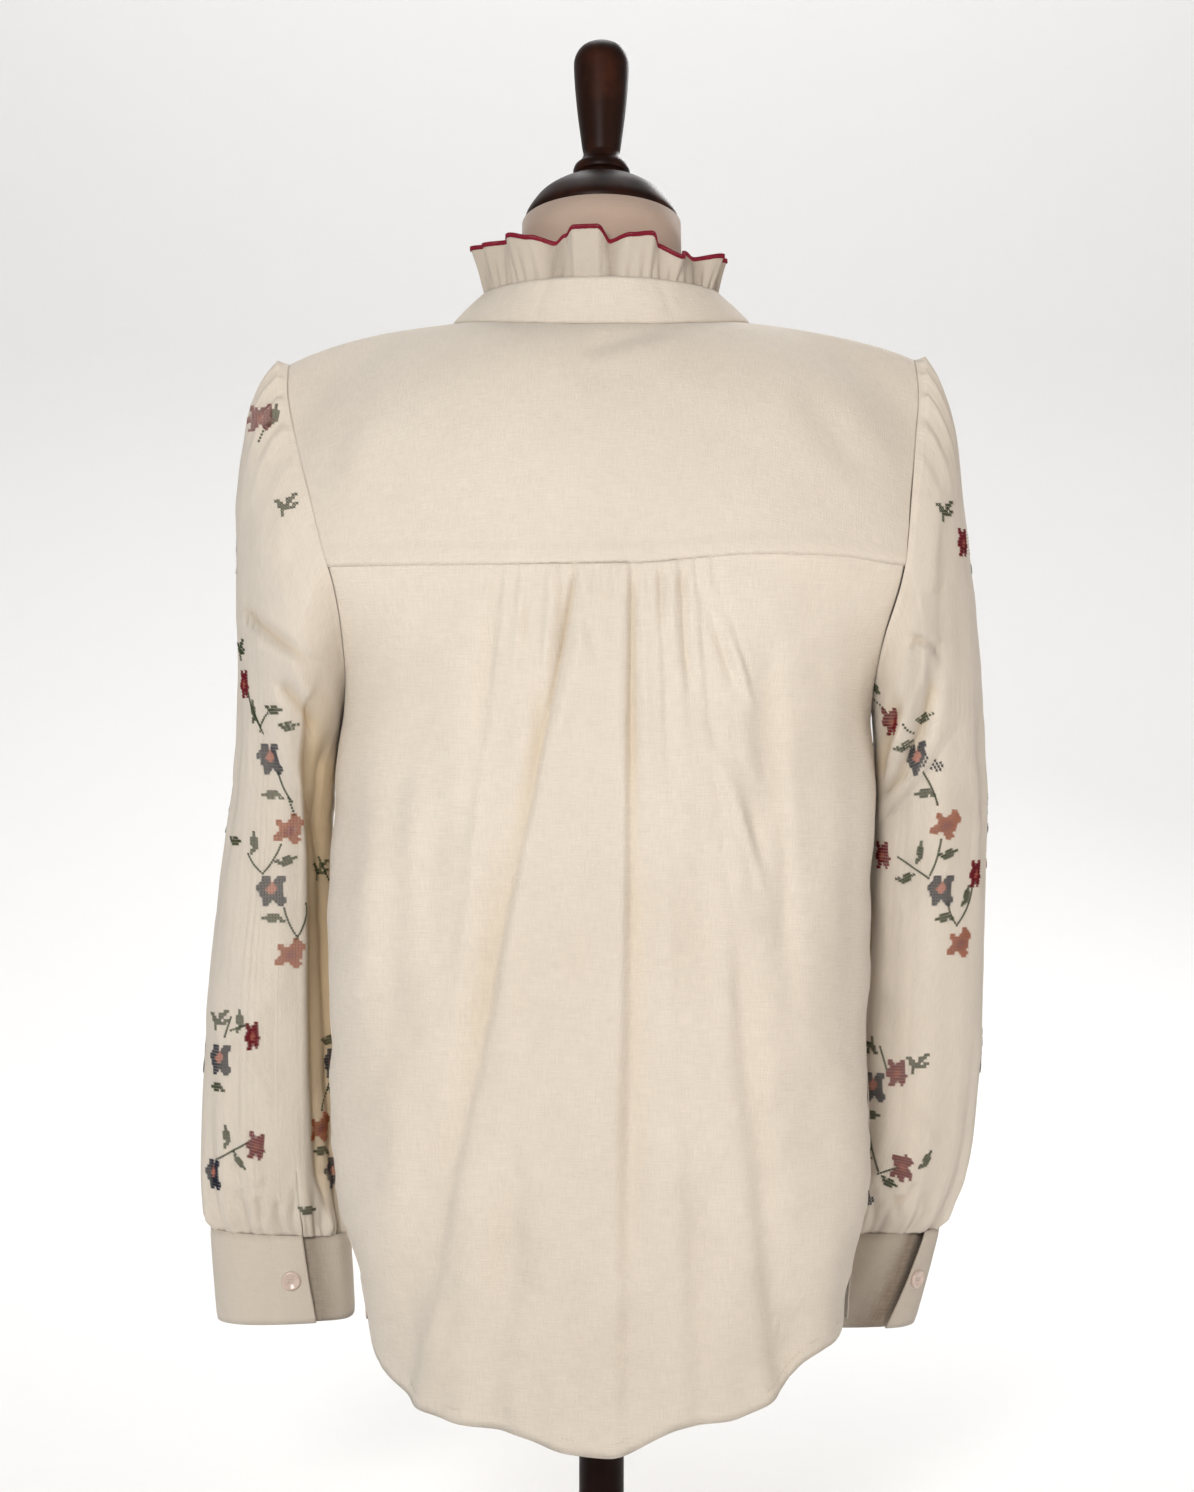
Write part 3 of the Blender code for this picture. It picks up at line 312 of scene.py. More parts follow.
Lamp = namedtuple("Lamp", "name place target size power colour")
LAMPS = [
    Lamp("key", (0.5, 2.4, 1.2), (0, 0, 0.45), 0.7, 38, (1.0, 0.975, 0.945)),
    Lamp("fill", (-2.4, 1.7, 0.9), (0, 0, 0.5), 2.0, 12, (1.0, 0.80, 0.66)),
    Lamp("front", (-1.0, -2.2, 1.9), (0, 0, 0.6), 1.0, 26, (1.0, 0.99, 0.98)),
    Lamp("wall", (0.0, -2.5, 4.4), (0, -3.6, 0.6), 2.6, 110, (1.0, 1.0, 1.0)),
]
WORLD_STRENGTH = 0.30


# Reading the tables
def smooth(table, key, value, at):
    """One column of a table at another column's value, on a curve through the rows."""
    keys = np.array([getattr(row, key) for row in table], float)
    values = np.array([getattr(row, value) for row in table], float)
    if keys[0] > keys[-1]:
        keys, values = keys[::-1], values[::-1]
    slopes = np.gradient(values, keys)
    at = np.clip(at, keys[0], keys[-1])
    i = np.clip(np.searchsorted(keys, at) - 1, 0, len(keys) - 2)
    span = keys[i + 1] - keys[i]
    t = (at - keys[i]) / span
    start = values[i] * (1 + 2 * t) * (1 - t) ** 2 + slopes[i] * span * t * (1 - t) ** 2
    end = values[i + 1] * t**2 * (3 - 2 * t) - slopes[i + 1] * span * t**2 * (1 - t)
    return start + end


def ease(t):
    t = np.clip(t, 0.0, 1.0)
    return t * t * (3 - 2 * t)


def signed_power(value, power):
    return np.sign(value) * np.abs(value) ** power


def section_points(turn, height, table=BODY, power=SECTION_POWER):
    """Points of a body at these turns and heights: turn 0 is the left side, and 90 the centre back."""
    turn, height = np.broadcast_arrays(np.asarray(turn, float), np.asarray(height, float))
    across, away = np.cos(np.radians(turn)), np.sin(np.radians(turn))
    sides = ("left", "right", "back", "front")
    left, right, back, front = (smooth(table, "height", side, height) for side in sides)
    wide = np.where(across >= 0, left, right)
    deep = np.where(away >= 0, back, front)
    lift = deep * np.clip(1 - np.abs(across) ** power, 0, 1) ** (1 / power)
    return np.stack([wide * across, np.where(away >= 0, lift, -lift), height], axis=-1)


def neck_point(turn):
    away = sin(radians(turn))
    x = NECK_HALF_WIDTH * cos(radians(turn))
    if away >= 0:
        return np.array([x, NECK_BACK * away, NECK_HEIGHT - NECK_BACK_DROP * away**2])
    return np.array([x, NECK_FRONT * away, NECK_HEIGHT - NECK_FRONT_DROP * abs(away) ** NECK_DROP_POWER])


def armhole_x(height, left):
    on_left, on_right = smooth(ARMHOLE, "height", "left", height), smooth(ARMHOLE, "height", "right", height)
    return np.where(left, on_left, on_right)


def shoulder_line(start, end, turn):
    """A line from the neck over the shoulder, full near the top and steep at the side."""
    sideways = abs(cos(radians(turn))) ** SHOULDER_TURN
    power = SHOULDER_POWER + SHOULDER_SQUARE * sideways
    slope = SHOULDER_SLOPE + SHOULDER_SIDE_SLOPE * sideways
    angles = np.radians(np.linspace(0, 90, 400))
    run = np.sin(angles) ** (2 / power)
    fall = slope * run + (1 - slope) * (1 - np.cos(angles) ** (2 / power))
    line = np.empty((len(angles), 3))
    line[:, :2] = start[:2] + (end[:2] - start[:2]) * run[:, None]
    line[:, 2] = start[2] + (end[2] - start[2]) * fall
    return line


def upper_line(turn):
    """The blouse's line from the neck seam to the yoke's level, cut off at the armhole's seam."""
    line = shoulder_line(neck_point(turn), section_points(turn, YOKE_SEAM), turn)
    past = np.abs(line[:, 0]) - armhole_x(line[:, 2], line[0, 0] >= 0)
    over = np.nonzero(past > 0)[0]
    if not len(over):
        return line
    i = over[0]
    share = past[i - 1] / (past[i - 1] - past[i])
    return np.vstack([line[:i], line[i - 1] + (line[i] - line[i - 1]) * share])


def lengths_along(line):
    """How far along a line each of its points lies."""
    return np.concatenate([[0.0], np.cumsum(np.linalg.norm(np.diff(line, axis=0), axis=1))])


def spot_along(line, lengths, at):
    return np.array([np.interp(at, lengths, line[:, k]) for k in range(3)])


def resample(line, shares):
    lengths = lengths_along(line)
    at = np.asarray(shares) * lengths[-1]
    return np.stack([np.interp(at, lengths, line[:, k]) for k in range(3)], axis=1)


def armhole_turn(height, left, front=False):
    """The turn at which the armhole's seam crosses a body section."""
    share = armhole_x(height, left) / smooth(BODY, "height", "left" if left else "right", height)
    turn = np.degrees(np.arccos(np.minimum(share, 1.0)))
    turn = turn if left else 180 - turn
    return -turn if front else turn


# Folds and creases
def lines_sunk(creases, x, z):
    """How far the cloth sinks along given lines, deepest in the middle of each."""
    sunk = np.zeros_like(x)
    for c in creases:
        run = np.array([c.x2 - c.x1, c.z2 - c.z1], float)
        length = np.linalg.norm(run)
        run /= length
        along = ((x - c.x1) * run[0] + (z - c.z1) * run[1]) / length
        across = (x - c.x1) * run[1] - (z - c.z1) * run[0]
        across = across - c.bow * 4 * along * (1 - along)
        width = c.width * (1 + c.lean * np.tanh(across / c.width))
        fade = ease(along / 0.18) * ease((1 - along) / 0.45)
        sunk += c.depth * fade * np.exp(-((across / width) ** 2))
        sunk -= 0.28 * c.depth * fade * np.exp(-(((np.abs(across) - 2.2 * c.width) / c.width) ** 2))
    return sunk


def scattered(count, across, down, seed):
    """Small creases in the way that worn cotton has them, mostly level."""
    rng = np.random.default_rng(seed)
    made = []
    for _ in range(count):
        x, z = rng.uniform(*across), rng.uniform(*down)
        lean, length = radians(rng.normal(8, 22)), rng.uniform(14, 46)
        dx, dz = cos(lean) * length, sin(lean) * length * (1 if rng.random() < 0.7 else -1)
        bow, depth, width = rng.normal(0, 3), rng.uniform(0.4, 1.15), rng.uniform(1.3, 2.6)
        made.append(Crease(x, z, x + dx, z + dz, bow, depth, width, 0.3))
    return made


def rumple(x, z, size, amount, seed):
    """Soft uneven rumples, about this size in millimetres."""
    rng = np.random.default_rng(seed)
    made = np.zeros_like(x)
    for _ in range(9):
        angle, phase = rng.uniform(0, pi), rng.uniform(0, 2 * pi)
        wave = size * rng.uniform(0.7, 1.8)
        bend = 0.6 * np.sin(2 * pi * (z / (3.1 * size)) + phase * 3)
        bend += 0.5 * np.sin(2 * pi * (x / (2.7 * size)) + phase)
        made += np.sin(2 * pi * (x * cos(angle) + z * sin(angle)) / wave + phase + bend)
    return amount * made / 3.0


def back_sunk(x, share):
    """How far the back sinks into its gathers and folds, at this share of the way to the hem."""
    puff = PUFF * np.exp(-(((share - PUFF_LEVEL) / PUFF_RUN) ** 2))
    sunk = -puff * np.exp(-((x / PUFF_HALF_WIDTH) ** 4))
    for fold in BACK_FOLDS:
        centre = fold.top + (fold.hem - fold.top) * share
        width = fold.width + FOLD_SPREAD * share
        width = width * (1 + fold.lean * np.tanh((x - centre) / width) * (1 - 0.5 * share))
        start = np.minimum(share / FOLD_RISE, 1.0) * 0.75 + 0.25
        depth = fold.depth * start * np.clip(1 - share / fold.reach, 0, 1) ** 0.8 + fold.hem_depth * share
        sunk += depth * np.exp(-(((x - centre) / width) ** 2))
    fine = np.exp(-((share / 0.07) ** 2)) * np.exp(-((x / 74.0) ** 4))
    sunk += 0.3 * fine * np.cos(2 * pi * x / 6.1 + 2.4 * np.sin(x / 9.0))
    return sunk


def front_sunk(x, height):
    share = (FRONT_FOLD_TOP - height) / (FRONT_FOLD_TOP - FRONT_FOLD_FOOT)
    sunk = np.zeros_like(x)
    for fold in FRONT_FOLDS:
        centre = fold.top + (fold.hem - fold.top) * share
        deep = fold.depth * np.clip(2 * share, 0, 1)
        sunk += deep * np.exp(-(((np.abs(x) - centre) / fold.width) ** 2))
    return sunk


def outward_of(grid):
    """Unit directions that point out of a grid of points whose rows run down and columns left to back."""
    out = np.cross(np.gradient(grid, axis=0), np.gradient(grid, axis=1))
    size = np.linalg.norm(out, axis=2, keepdims=True)
    return out / np.where(size > 1e-9, size, 1.0)


# Shader maths, written as Python expressions
class Wire:
    """A shader socket that Python's own operators work on."""

    def __init__(self, tree, socket):
        self.tree, self.socket = tree, socket

    def maths(self, operation, other=None, swap=False):
        node = self.tree.nodes.new("ShaderNodeMath")
        node.operation = operation
        first, second = (other, self) if swap else (self, other)
        for place, value in enumerate((first, second)):
            if isinstance(value, Wire):
                self.tree.links.new(value.socket, node.inputs[place])
            elif value is not None:
                node.inputs[place].default_value = value
        return Wire(self.tree, node.outputs[0])

    def __add__(self, other):
        return self.maths("ADD", other)

    def __radd__(self, other):
        return self.maths("ADD", other, True)

    def __sub__(self, other):
        return self.maths("SUBTRACT", other)

    def __mul__(self, other):
        return self.maths("MULTIPLY", other)

    def clamped(self, low, high):
        return self.maths("MAXIMUM", low).maths("MINIMUM", high)

    def sine(self):
        return self.maths("SINE")


class Finish:
    """A procedural material under construction."""

    def __init__(self, name):
        self.material = bpy.data.materials.new(name)
        self.material.use_nodes = True
        self.tree = self.material.node_tree
        self.shader = self.tree.nodes["Principled BSDF"]
        self.place = self.node("ShaderNodeTexCoord", {}, {}, "Object")

    def node(self, kind, settings, sockets, output=0):
        node = self.tree.nodes.new(kind)
        for key, value in settings.items():
            setattr(node, key, value)
        for key, value in sockets.items():
            if isinstance(value, Wire):
                self.tree.links.new(value.socket, node.inputs[key])
            else:
                node.inputs[key].default_value = value
        return Wire(self.tree, node.outputs[output])

    def noise(self, scale, detail=3.0, at=None, rough=0.55):
        sockets = {"Vector": at or self.place, "Scale": scale, "Detail": detail, "Roughness": rough}
        return self.node("ShaderNodeTexNoise", {}, sockets)

    def stretched(self, scale, at=None):
        return self.node("ShaderNodeMapping", {}, {"Vector": at or self.place, "Scale": scale})

    def mixed(self, share, first, second):
        node = self.tree.nodes.new("ShaderNodeMix")
        node.data_type = "RGBA"
        for place, value in ((0, share), (6, first), (7, second)):
            if isinstance(value, Wire):
                self.tree.links.new(value.socket, node.inputs[place])
            else:
                node.inputs[place].default_value = value if place == 0 else (*value, 1.0)
        return Wire(self.tree, node.outputs[2])

    def split(self, vector):
        node = self.tree.nodes.new("ShaderNodeSeparateXYZ")
        self.tree.links.new(vector.socket, node.inputs[0])
        return [Wire(self.tree, socket) for socket in node.outputs]

    def uv(self):
        return self.node("ShaderNodeUVMap", {"uv_map": "Cut"}, {})

    def bump(self, height, distance, strength=1.0, over=None):
        sockets = {"Height": height, "Distance": distance, "Strength": strength}
        if over is not None:
            sockets["Normal"] = over
        return self.node("ShaderNodeBump", {}, sockets)

    def set(self, **values):
        for key, value in values.items():
            socket = self.shader.inputs[key.replace("_", " ")]
            if isinstance(value, Wire):
                self.tree.links.new(value.socket, socket)
            else:
                socket.default_value = value
        return self.material


# Distance from one thread of the weave to the second next, in metres
COTTON_THREAD = 0.0011
LINEN_THREAD = 0.0014

# Painted shade: the warm colour that light from cloth to cloth gives a hollow, and the dark colour of a piece
# in the shade
PAINTED_HOLLOW_TINT = (0.80, 0.58, 0.29)
PAINTED_SHADE_TINT = (0.23, 0.175, 0.125)


def cotton_finish(name, light, shade, warm, blotch=0.35):
    """Fine plain-woven cotton: threads, slubs, soft rumples, an uneven tint and painted shade from each
    piece's attribute.
    """
    f = Finish(name)
    cut = f.uv()
    across, along, _ = f.split(cut)
    slubs = f.noise(60.0, 4.0, f.stretched((26.0, 1.5, 1.0), cut))
    weft = f.noise(60.0, 4.0, f.stretched((1.5, 26.0, 1.0), cut))
    weave = (across * (2 * pi / COTTON_THREAD)).sine() * (along * (2 * pi / COTTON_THREAD)).sine()
    tint = f.noise(7.0, 3.0)
    patch = f.noise(2.6, 2.0)
    colour = f.mixed((tint * 1.6 - 0.3).clamped(0.0, 1.0), shade, light)
    colour = f.mixed((patch * 2.0 - 0.65).clamped(0.0, 1.0) * blotch, colour, warm)
    # Painted shade from the piece's attribute: above 0 a warm hollow, below 0 a piece in the shade
    painted_shade = f.node("ShaderNodeAttribute", {"attribute_name": "painted_shade"}, {}, "Fac")
    colour = f.mixed(painted_shade.clamped(0.0, 1.0) * 0.8, colour, PAINTED_HOLLOW_TINT)
    colour = f.mixed((painted_shade * -1.0).clamped(0.0, 1.0), colour, PAINTED_SHADE_TINT)
    thread = (slubs + weft - 1.0).clamped(-0.5, 0.5)
    colour = f.mixed((thread * 0.9 + 0.15).clamped(0.0, 0.42), colour, tuple(0.80 * c for c in shade))
    rumples = f.noise(46.0, 4.0, None, 0.6)
    normal = f.bump(rumples, 0.0018, 0.6)
    normal = f.bump(slubs + weft + weave * 0.22, 0.0005, 0.8, normal)
    return f.set(
        Base_Color=colour, Roughness=(0.84 + tint * 0.12), Normal=normal,
        Sheen_Weight=0.22, Sheen_Roughness=0.5, Specular_IOR_Level=0.25,
    )


def thread_finish(name, colour, deep):
    f = Finish(name)
    strand = f.noise(900.0, 2.0)
    tone = f.mixed((f.noise(120.0, 2.0) * 1.4 - 0.2).clamped(0.0, 1.0), deep, colour)
    return f.set(
        Base_Color=tone, Roughness=(0.62 + strand * 0.2), Normal=f.bump(strand, 0.0002, 0.6),
        Specular_IOR_Level=0.25,
    )


def wood_finish():
    """Turned wood with a dark stain, reddish where it wears thin, under a clear polish."""
    f = Finish("dark_wood")
    rings = f.noise(90.0, 5.0, f.stretched((1.0, 1.0, 0.06)))
    wear = f.noise(28.0, 3.0)
    colour = f.mixed((rings * 1.8 - 0.45).clamped(0.0, 1.0), (0.006, 0.002, 0.001), (0.026, 0.007, 0.003))
    colour = f.mixed((wear * 2.4 - 1.25).clamped(0.0, 0.5), colour, (0.07, 0.018, 0.007))
    return f.set(
        Base_Color=colour, Roughness=(0.34 + wear * 0.22), Normal=f.bump(rings, 0.0005, 0.35),
        Specular_IOR_Level=0.13,
    )


def linen_finish():
    """The form's cover, with a coarser weave than the blouse."""
    f = Finish("form_linen")
    _, _, height = f.split(f.place)
    level = f.noise(60.0, 3.0, f.stretched((1.0, 1.0, 26.0)))
    upright = f.noise(60.0, 3.0, f.stretched((26.0, 26.0, 1.0)))
    share = (f.noise(9.0, 3.0) * 1.6 - 0.3).clamped(0.0, 1.0)
    colour = f.mixed(share, (0.40, 0.29, 0.225), (0.53, 0.405, 0.325))
    weave = (height * (2 * pi / LINEN_THREAD)).sine()
    normal = f.bump(level + upright + weave * 0.2, 0.0004, 0.3)
    return f.set(Base_Color=colour, Roughness=0.92, Normal=normal, Sheen_Weight=0.2)


def pearl_finish():
    f = Finish("pearl_button")
    cloud = f.noise(240.0, 3.0)
    colour = f.mixed(cloud.clamped(0.0, 1.0), (0.46, 0.33, 0.28), (0.70, 0.58, 0.51))
    return f.set(Base_Color=colour, Roughness=(0.22 + cloud * 0.15), Coat_Weight=0.4, Coat_Roughness=0.1)


def plain_finish(name, colour, roughness):
    f = Finish(name)
    grain = f.noise(30.0, 2.0)
    tone = f.mixed(grain * 0.4, colour, tuple(0.97 * c for c in colour))
    return f.set(Base_Color=tone, Roughness=roughness)


# Making pieces
def placed(name, data):
    """A new object in the scene."""
    made = bpy.data.objects.new(name, data)
    bpy.context.scene.collection.objects.link(made)
    return made


def settled(piece):
    """Applies the piece's modifiers, so that a plain mesh is left."""
    graph = bpy.context.evaluated_depsgraph_get()
    mesh = bpy.data.meshes.new_from_object(
        piece.evaluated_get(graph), preserve_all_data_layers=True, depsgraph=graph,
    )
    piece.modifiers.clear()
    piece.data = mesh
    mesh.name = piece.name
    return piece


def shell(name, grid, material, closed=False, wall=SHELL, left_out=(), painted_shade=None, laid=None):
    """A thin cut piece with its wall inside, through a grid of points. Its UV map holds the cut in metres."""
    rows, columns = grid.shape[:2]
    points = grid * MM + BUST_POINT * MM
    step = np.linalg.norm(np.diff(points, axis=0), axis=2)
    down = np.vstack([np.zeros((1, columns)), np.cumsum(step, axis=0)])
    ring = np.concatenate([points, points[:, :1]], axis=1) if closed else points
    middle = ring[rows // 2]
    across = np.tile(lengths_along(middle), (rows, 1))
    if laid is not None:
        across, down = laid[..., 0], laid[..., 1]
    faces, cuts = [], []
    cells = columns if closed else columns - 1
    for r in range(rows - 1):
        for c in range(cells):
            if (r, c) in left_out:
                continue
            n = (c + 1) % columns
            faces.append((r * columns + c, (r + 1) * columns + c, (r + 1) * columns + n, r * columns + n))
            cuts += [
                across[r, c], down[r, c], across[r + 1, c], down[r + 1, c],
                across[r + 1, c + 1], down[r + 1, n], across[r, c + 1], down[r, n],
            ]
    faces = [face[::-1] for face in faces]
    flat = np.array(cuts).reshape(-1, 4, 2)[:, ::-1].reshape(-1)
    mesh = bpy.data.meshes.new(name)
    mesh.from_pydata(points.reshape(-1, 3).tolist(), [], faces)
    layer = mesh.uv_layers.new(name="Cut")
    layer.data.foreach_set("uv", flat.astype(np.float32))
    mesh.shade_smooth()
    mesh.materials.append(material)
    # Painted shade for each point, which the cotton finish mixes into its colour
    shade = mesh.attributes.new("painted_shade", "FLOAT", "POINT")
    depths = np.zeros((rows, columns)) if painted_shade is None else painted_shade
    shade.data.foreach_set("value", np.clip(depths, -1, 1).astype(np.float32).ravel())
    piece = placed(name, mesh)
    thicken = piece.modifiers.new("Wall", "SOLIDIFY")
    thicken.thickness = wall * MM
    thicken.offset = -1.0
    return settled(piece)


def wear(piece, slot, *nodes):
    """The piece moves with the part and stands for these solids. The finish's name is not used."""
    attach(piece, "root")
    if nodes:
        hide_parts(*nodes)


def cut(piece, width, length, held, rests_on, share=1.0, with_pieces=()):
    """Works out the area of a sheet's flat cut, given in millimetres, without keeping it."""
    width, length = width * MM, length * MM
    width * length * share


# The body
def panel_grid(turns_top, heights, first, last, hem_rows):
    """Points of a body panel below the yoke's level: rows down, columns from first to last."""
    along = (turns_top - turns_top[0]) / (turns_top[-1] - turns_top[0])
    rows = []
    for height in heights:
        ends = first(height), last(height)
        turns = ends[0] + along * (ends[1] - ends[0])
        rows.append(section_points(turns, height))
    ends = first(UNDERARM), last(UNDERARM)
    turns = ends[0] + along * (ends[1] - ends[0])
    hem = smooth(HEM, "turn", "height", turns % 360)
    for share in hem_rows:
        rows.append(section_points(turns, UNDERARM + (hem - UNDERARM) * share))
    return np.array(rows), turns


def turned_hem(above_hem):
    """How far the turned hem stands out."""
    return HEM_STEP * ease((HEM_WIDTH - above_hem) / HEM_EDGE)


def level_out(grid):
    """The level direction that points out of the body at each point of a grid."""
    wide = smooth(BODY, "height", "left", grid[..., 2])
    deep = smooth(BODY, "height", "back", grid[..., 2])
    out = np.stack([grid[..., 0] / wide**2, grid[..., 1] / deep**2, np.zeros_like(wide)], axis=-1)
    return out / np.linalg.norm(out, axis=-1, keepdims=True)


def laid_flat(points):
    """Where the points of a body panel lie in its cut, in metres: round the body, and down it."""
    around = np.arctan2(points[..., 0], np.abs(points[..., 1])) * ROUND_RADIUS
    over = 0.6 * np.abs(points[..., 1]) * ease((points[..., 2] - YOKE_SEAM) / 60)
    return np.stack([around, over - points[..., 2]], axis=-1) * MM


def raise_seam(grid):
    """Lifts the cloth of the back near the yoke's seam."""
    rise = smooth(SEAM_RISE, "x", "rise", grid[..., 0]) * ease((grid[..., 1] - 20) / 40)
    grid[..., 2] += rise * np.exp(-(((grid[..., 2] - YOKE_SEAM) / SEAM_RISE_REACH) ** 2))
    return grid


def make_back(cotton):
    """The yoke over both shoulders, and the back gathered into it."""
    left, right = armhole_turn(YOKE_SEAM, True), armhole_turn(YOKE_SEAM, False)
    turns = np.concatenate([
        np.linspace(YOKE_FRONT_TURN, left, 36)[:-1],
        np.linspace(left, right, 150)[:-1],
        np.linspace(right, 180 - YOKE_FRONT_TURN, 36),
    ])
    shares = np.linspace(0, 1, 60)
    grid = np.stack([resample(upper_line(turn), shares) for turn in turns], axis=1)
    out = outward_of(grid)
    x, z = grid[..., 0], grid[..., 2]
    behind = ease((grid[..., 1] - 20) / 40)
    above_seam = z - YOKE_SEAM
    ridge = 0.7 * behind * ease(above_seam / 1.5) * ease((11.0 - above_seam) / 2.0)
    ridge -= lines_sunk(YOKE_CREASES, x, z) * behind
    rise = ridge + rumple(x, z, 60.0, 0.35, 3) * ease(above_seam / 30)
    rise -= 0.5 * behind * np.exp(-(above_seam**2))
    points = grid + out * rise[..., None]
    lap = behind[-1] * 0.7
    points[-1, :, 2] -= lap
    points = raise_seam(points)
    laid = np.stack([points[..., 0], np.abs(points[..., 1]) - points[..., 2]], axis=-1)
    yoke = shell("yoke", points, cotton, laid=laid * MM)
    wear(yoke, "cream_cotton", "back_yoke")
    cut(yoke, 430, 230, "hung", ["form_body"], 0.85)

    spread = np.linspace(-1, 1, 310)
    spread = spread * 0.55 + spread**3 * 0.45
    turns = left + (right - left) * (spread + 1) / 2
    heights = np.concatenate([np.linspace(107.9, 90, 16), np.linspace(88, UNDERARM, 19)])
    grid, turns = panel_grid(
        turns, heights, lambda z: armhole_turn(z, True) + SIDE_INSET,
        lambda z: armhole_turn(z, False) - SIDE_INSET,
        np.linspace(0, 1, 80)[1:],
    )
    out = level_out(grid)
    x, z = grid[..., 0], grid[..., 2]
    hem = smooth(HEM, "turn", "height", turns % 360)[None, :]
    share = (YOKE_SEAM - z) / (YOKE_SEAM - hem)
    sunk = back_sunk(x, share)
    clear_of_seam = ease((YOKE_SEAM - z) / 6)
    from_armhole = armhole_x(np.clip(z, UNDERARM, None), x >= 0) - np.abs(x)
    from_armhole = from_armhole + 50.0 * ease((UNDERARM - z) / 60.0)
    calm = clear_of_seam * ease(from_armhole / 8)
    creased = lines_sunk(BACK_CREASES + scattered(90, (-138, 138), (-395, -120), 31), x, z)
    creased += lines_sunk(scattered(26, (-150, 150), (-120, 60), 32), x, z)
    sunk += creased * calm
    sunk += rumple(x, z * 0.2, 27.0, 1.7, 8) * calm * ease(share / 0.3)
    sunk += rumple(x, z, 46.0, 0.6, 5) * calm + rumple(x, z * 1.6, 20.0, 0.4, 6) * ease((share - 0.35) / 0.4)
    sunk += 0.8 * np.exp(-((from_armhole / 1.6) ** 2)) + 0.5 * (1 - ease((YOKE_SEAM - z) / 2.0))
    sunk -= turned_hem(z - hem)
    # Painted shade in the valleys of the gathers, folds and creases, fading out towards the hem
    tint = np.clip((back_sunk(x, share) + creased - 2.4) / 22.0, 0, 0.3) * ease((z + 330) / 260)
    points = raise_seam(grid - out * sunk[..., None])
    back = shell("back", points, cotton, painted_shade=tint, laid=laid_flat(points))
    wear(back, "cream_cotton", "back_panel")
    cut(back, 520, 540, "gathered", ["yoke", "form_body"], 0.92)
    return back, points


def make_front(name, cotton, left, node):
    """One front, from the shoulder, the neck and the armhole down to the hem."""
    gap = degrees(0.35 / NECK_FRONT)
    centre = -90 + gap if left else -90 - gap
    edge = armhole_turn(YOKE_SEAM, left, True)
    edge = edge - SIDE_INSET if left else edge + SIDE_INSET
    tip = YOKE_FRONT_TURN - 0.08 if left else -180 - YOKE_FRONT_TURN + 0.08
    main = np.linspace(centre, edge, 112)
    arm = np.linspace(edge, tip, 34)[1:]
    turns = np.concatenate([main, arm])
    shares = np.linspace(0, 1, 44)
    upper = np.stack([resample(upper_line(turn), shares) for turn in turns], axis=1)
    heights = np.linspace(YOKE_SEAM, UNDERARM, 22)[1:]
    if left:
        ends = (lambda z: centre, lambda z: armhole_turn(z, True, True) - SIDE_INSET)
    else:
        ends = (lambda z: centre, lambda z: armhole_turn(z, False, True) + SIDE_INSET)
    lower, low_turns = panel_grid(main, heights, ends[0], ends[1], np.linspace(0, 1, 60)[1:])
    hem = smooth(HEM, "turn", "height", low_turns % 360)[None, :]
    x, z = lower[..., 0], lower[..., 2]
    sunk = front_sunk(x, z) + lines_sunk(FRONT_CREASES, x, z) + rumple(x, z, 48.0, 0.45, 11)
    sunk *= ease((np.abs(x) - 12) / 14) * ease((YOKE_SEAM - z) / 26)
    sunk -= turned_hem(z - hem)
    lower = lower - level_out(lower) * sunk[..., None]
    body = np.concatenate([upper[:, : len(main)], lower], axis=0)
    x, z = upper[..., 0], upper[..., 2]
    wing = upper[:, len(main) - 1 :]
    out = outward_of(upper) * (1 if left else -1)
    calm = ease((z - YOKE_SEAM) / 25) * ease((np.abs(x) - 14) / 12)
    moved = (lines_sunk(FRONT_CREASES, x, z) + rumple(x, z, 55.0, 0.4, 12)) * calm
    body[: len(shares)] -= out[:, : len(main)] * moved[:, : len(main), None]
    wing = wing - out[:, len(main) - 1 :] * moved[:, len(main) - 1 :, None]
    pieces = []
    for part, points in (("body", body), ("wing", wing)):
        points = points if left else points[:, ::-1]
        pieces.append(shell(f"{name}_{part}", points, cotton, laid=laid_flat(points)))
    front = join(name, pieces)
    wear(front, "cream_cotton", node)
    cut(front, 235, 640, "hung", ["form_body", "yoke"], 0.9)


def make_placket(cotton):
    """The strip that the buttons lie on, down the centre front."""
    tree = surface(bpy.data.objects["front_placket"])
    columns = np.linspace(-PLACKET_HALF_WIDTH + 0.05, PLACKET_HALF_WIDTH - 0.05, 25)
    fine = np.arange(PLACKET_TOP, PLACKET_FOOT, -0.5)
    lines = []
    for x in columns:
        hits = [find_spot(tree, x, z, AHEAD)[0] for z in fine]
        lines.append(resample(np.array([hit for hit in hits if hit is not None]), np.linspace(0, 1, 190)))
    grid = np.stack(lines, axis=1)
    across = grid[..., 0]
    pressed = ease((PLACKET_HALF_WIDTH - np.abs(across)) / 1.5)
    pressed -= 0.5 * np.exp(-(((np.abs(across) - 12.0) / 0.6) ** 2))
    grid[..., 1] -= 0.35 * pressed + rumple(across, grid[..., 2], 30.0, 0.12, 14)
    placket = shell("placket", grid, cotton, wall=BAND_SHELL)
    wear(placket, "cream_cotton", "front_placket")
    cut(placket, 30, 600, "hung", ["left_front_cloth", "right_front_cloth"], 1.0)
    return placket, grid


def join(name, pieces):
    """Several pieces as one mesh."""
    first = pieces[0]
    with bpy.context.temp_override(active_object=first, selected_editable_objects=pieces, object=first):
        bpy.ops.object.join()
    first.name = name
    first.data.name = name
    return first


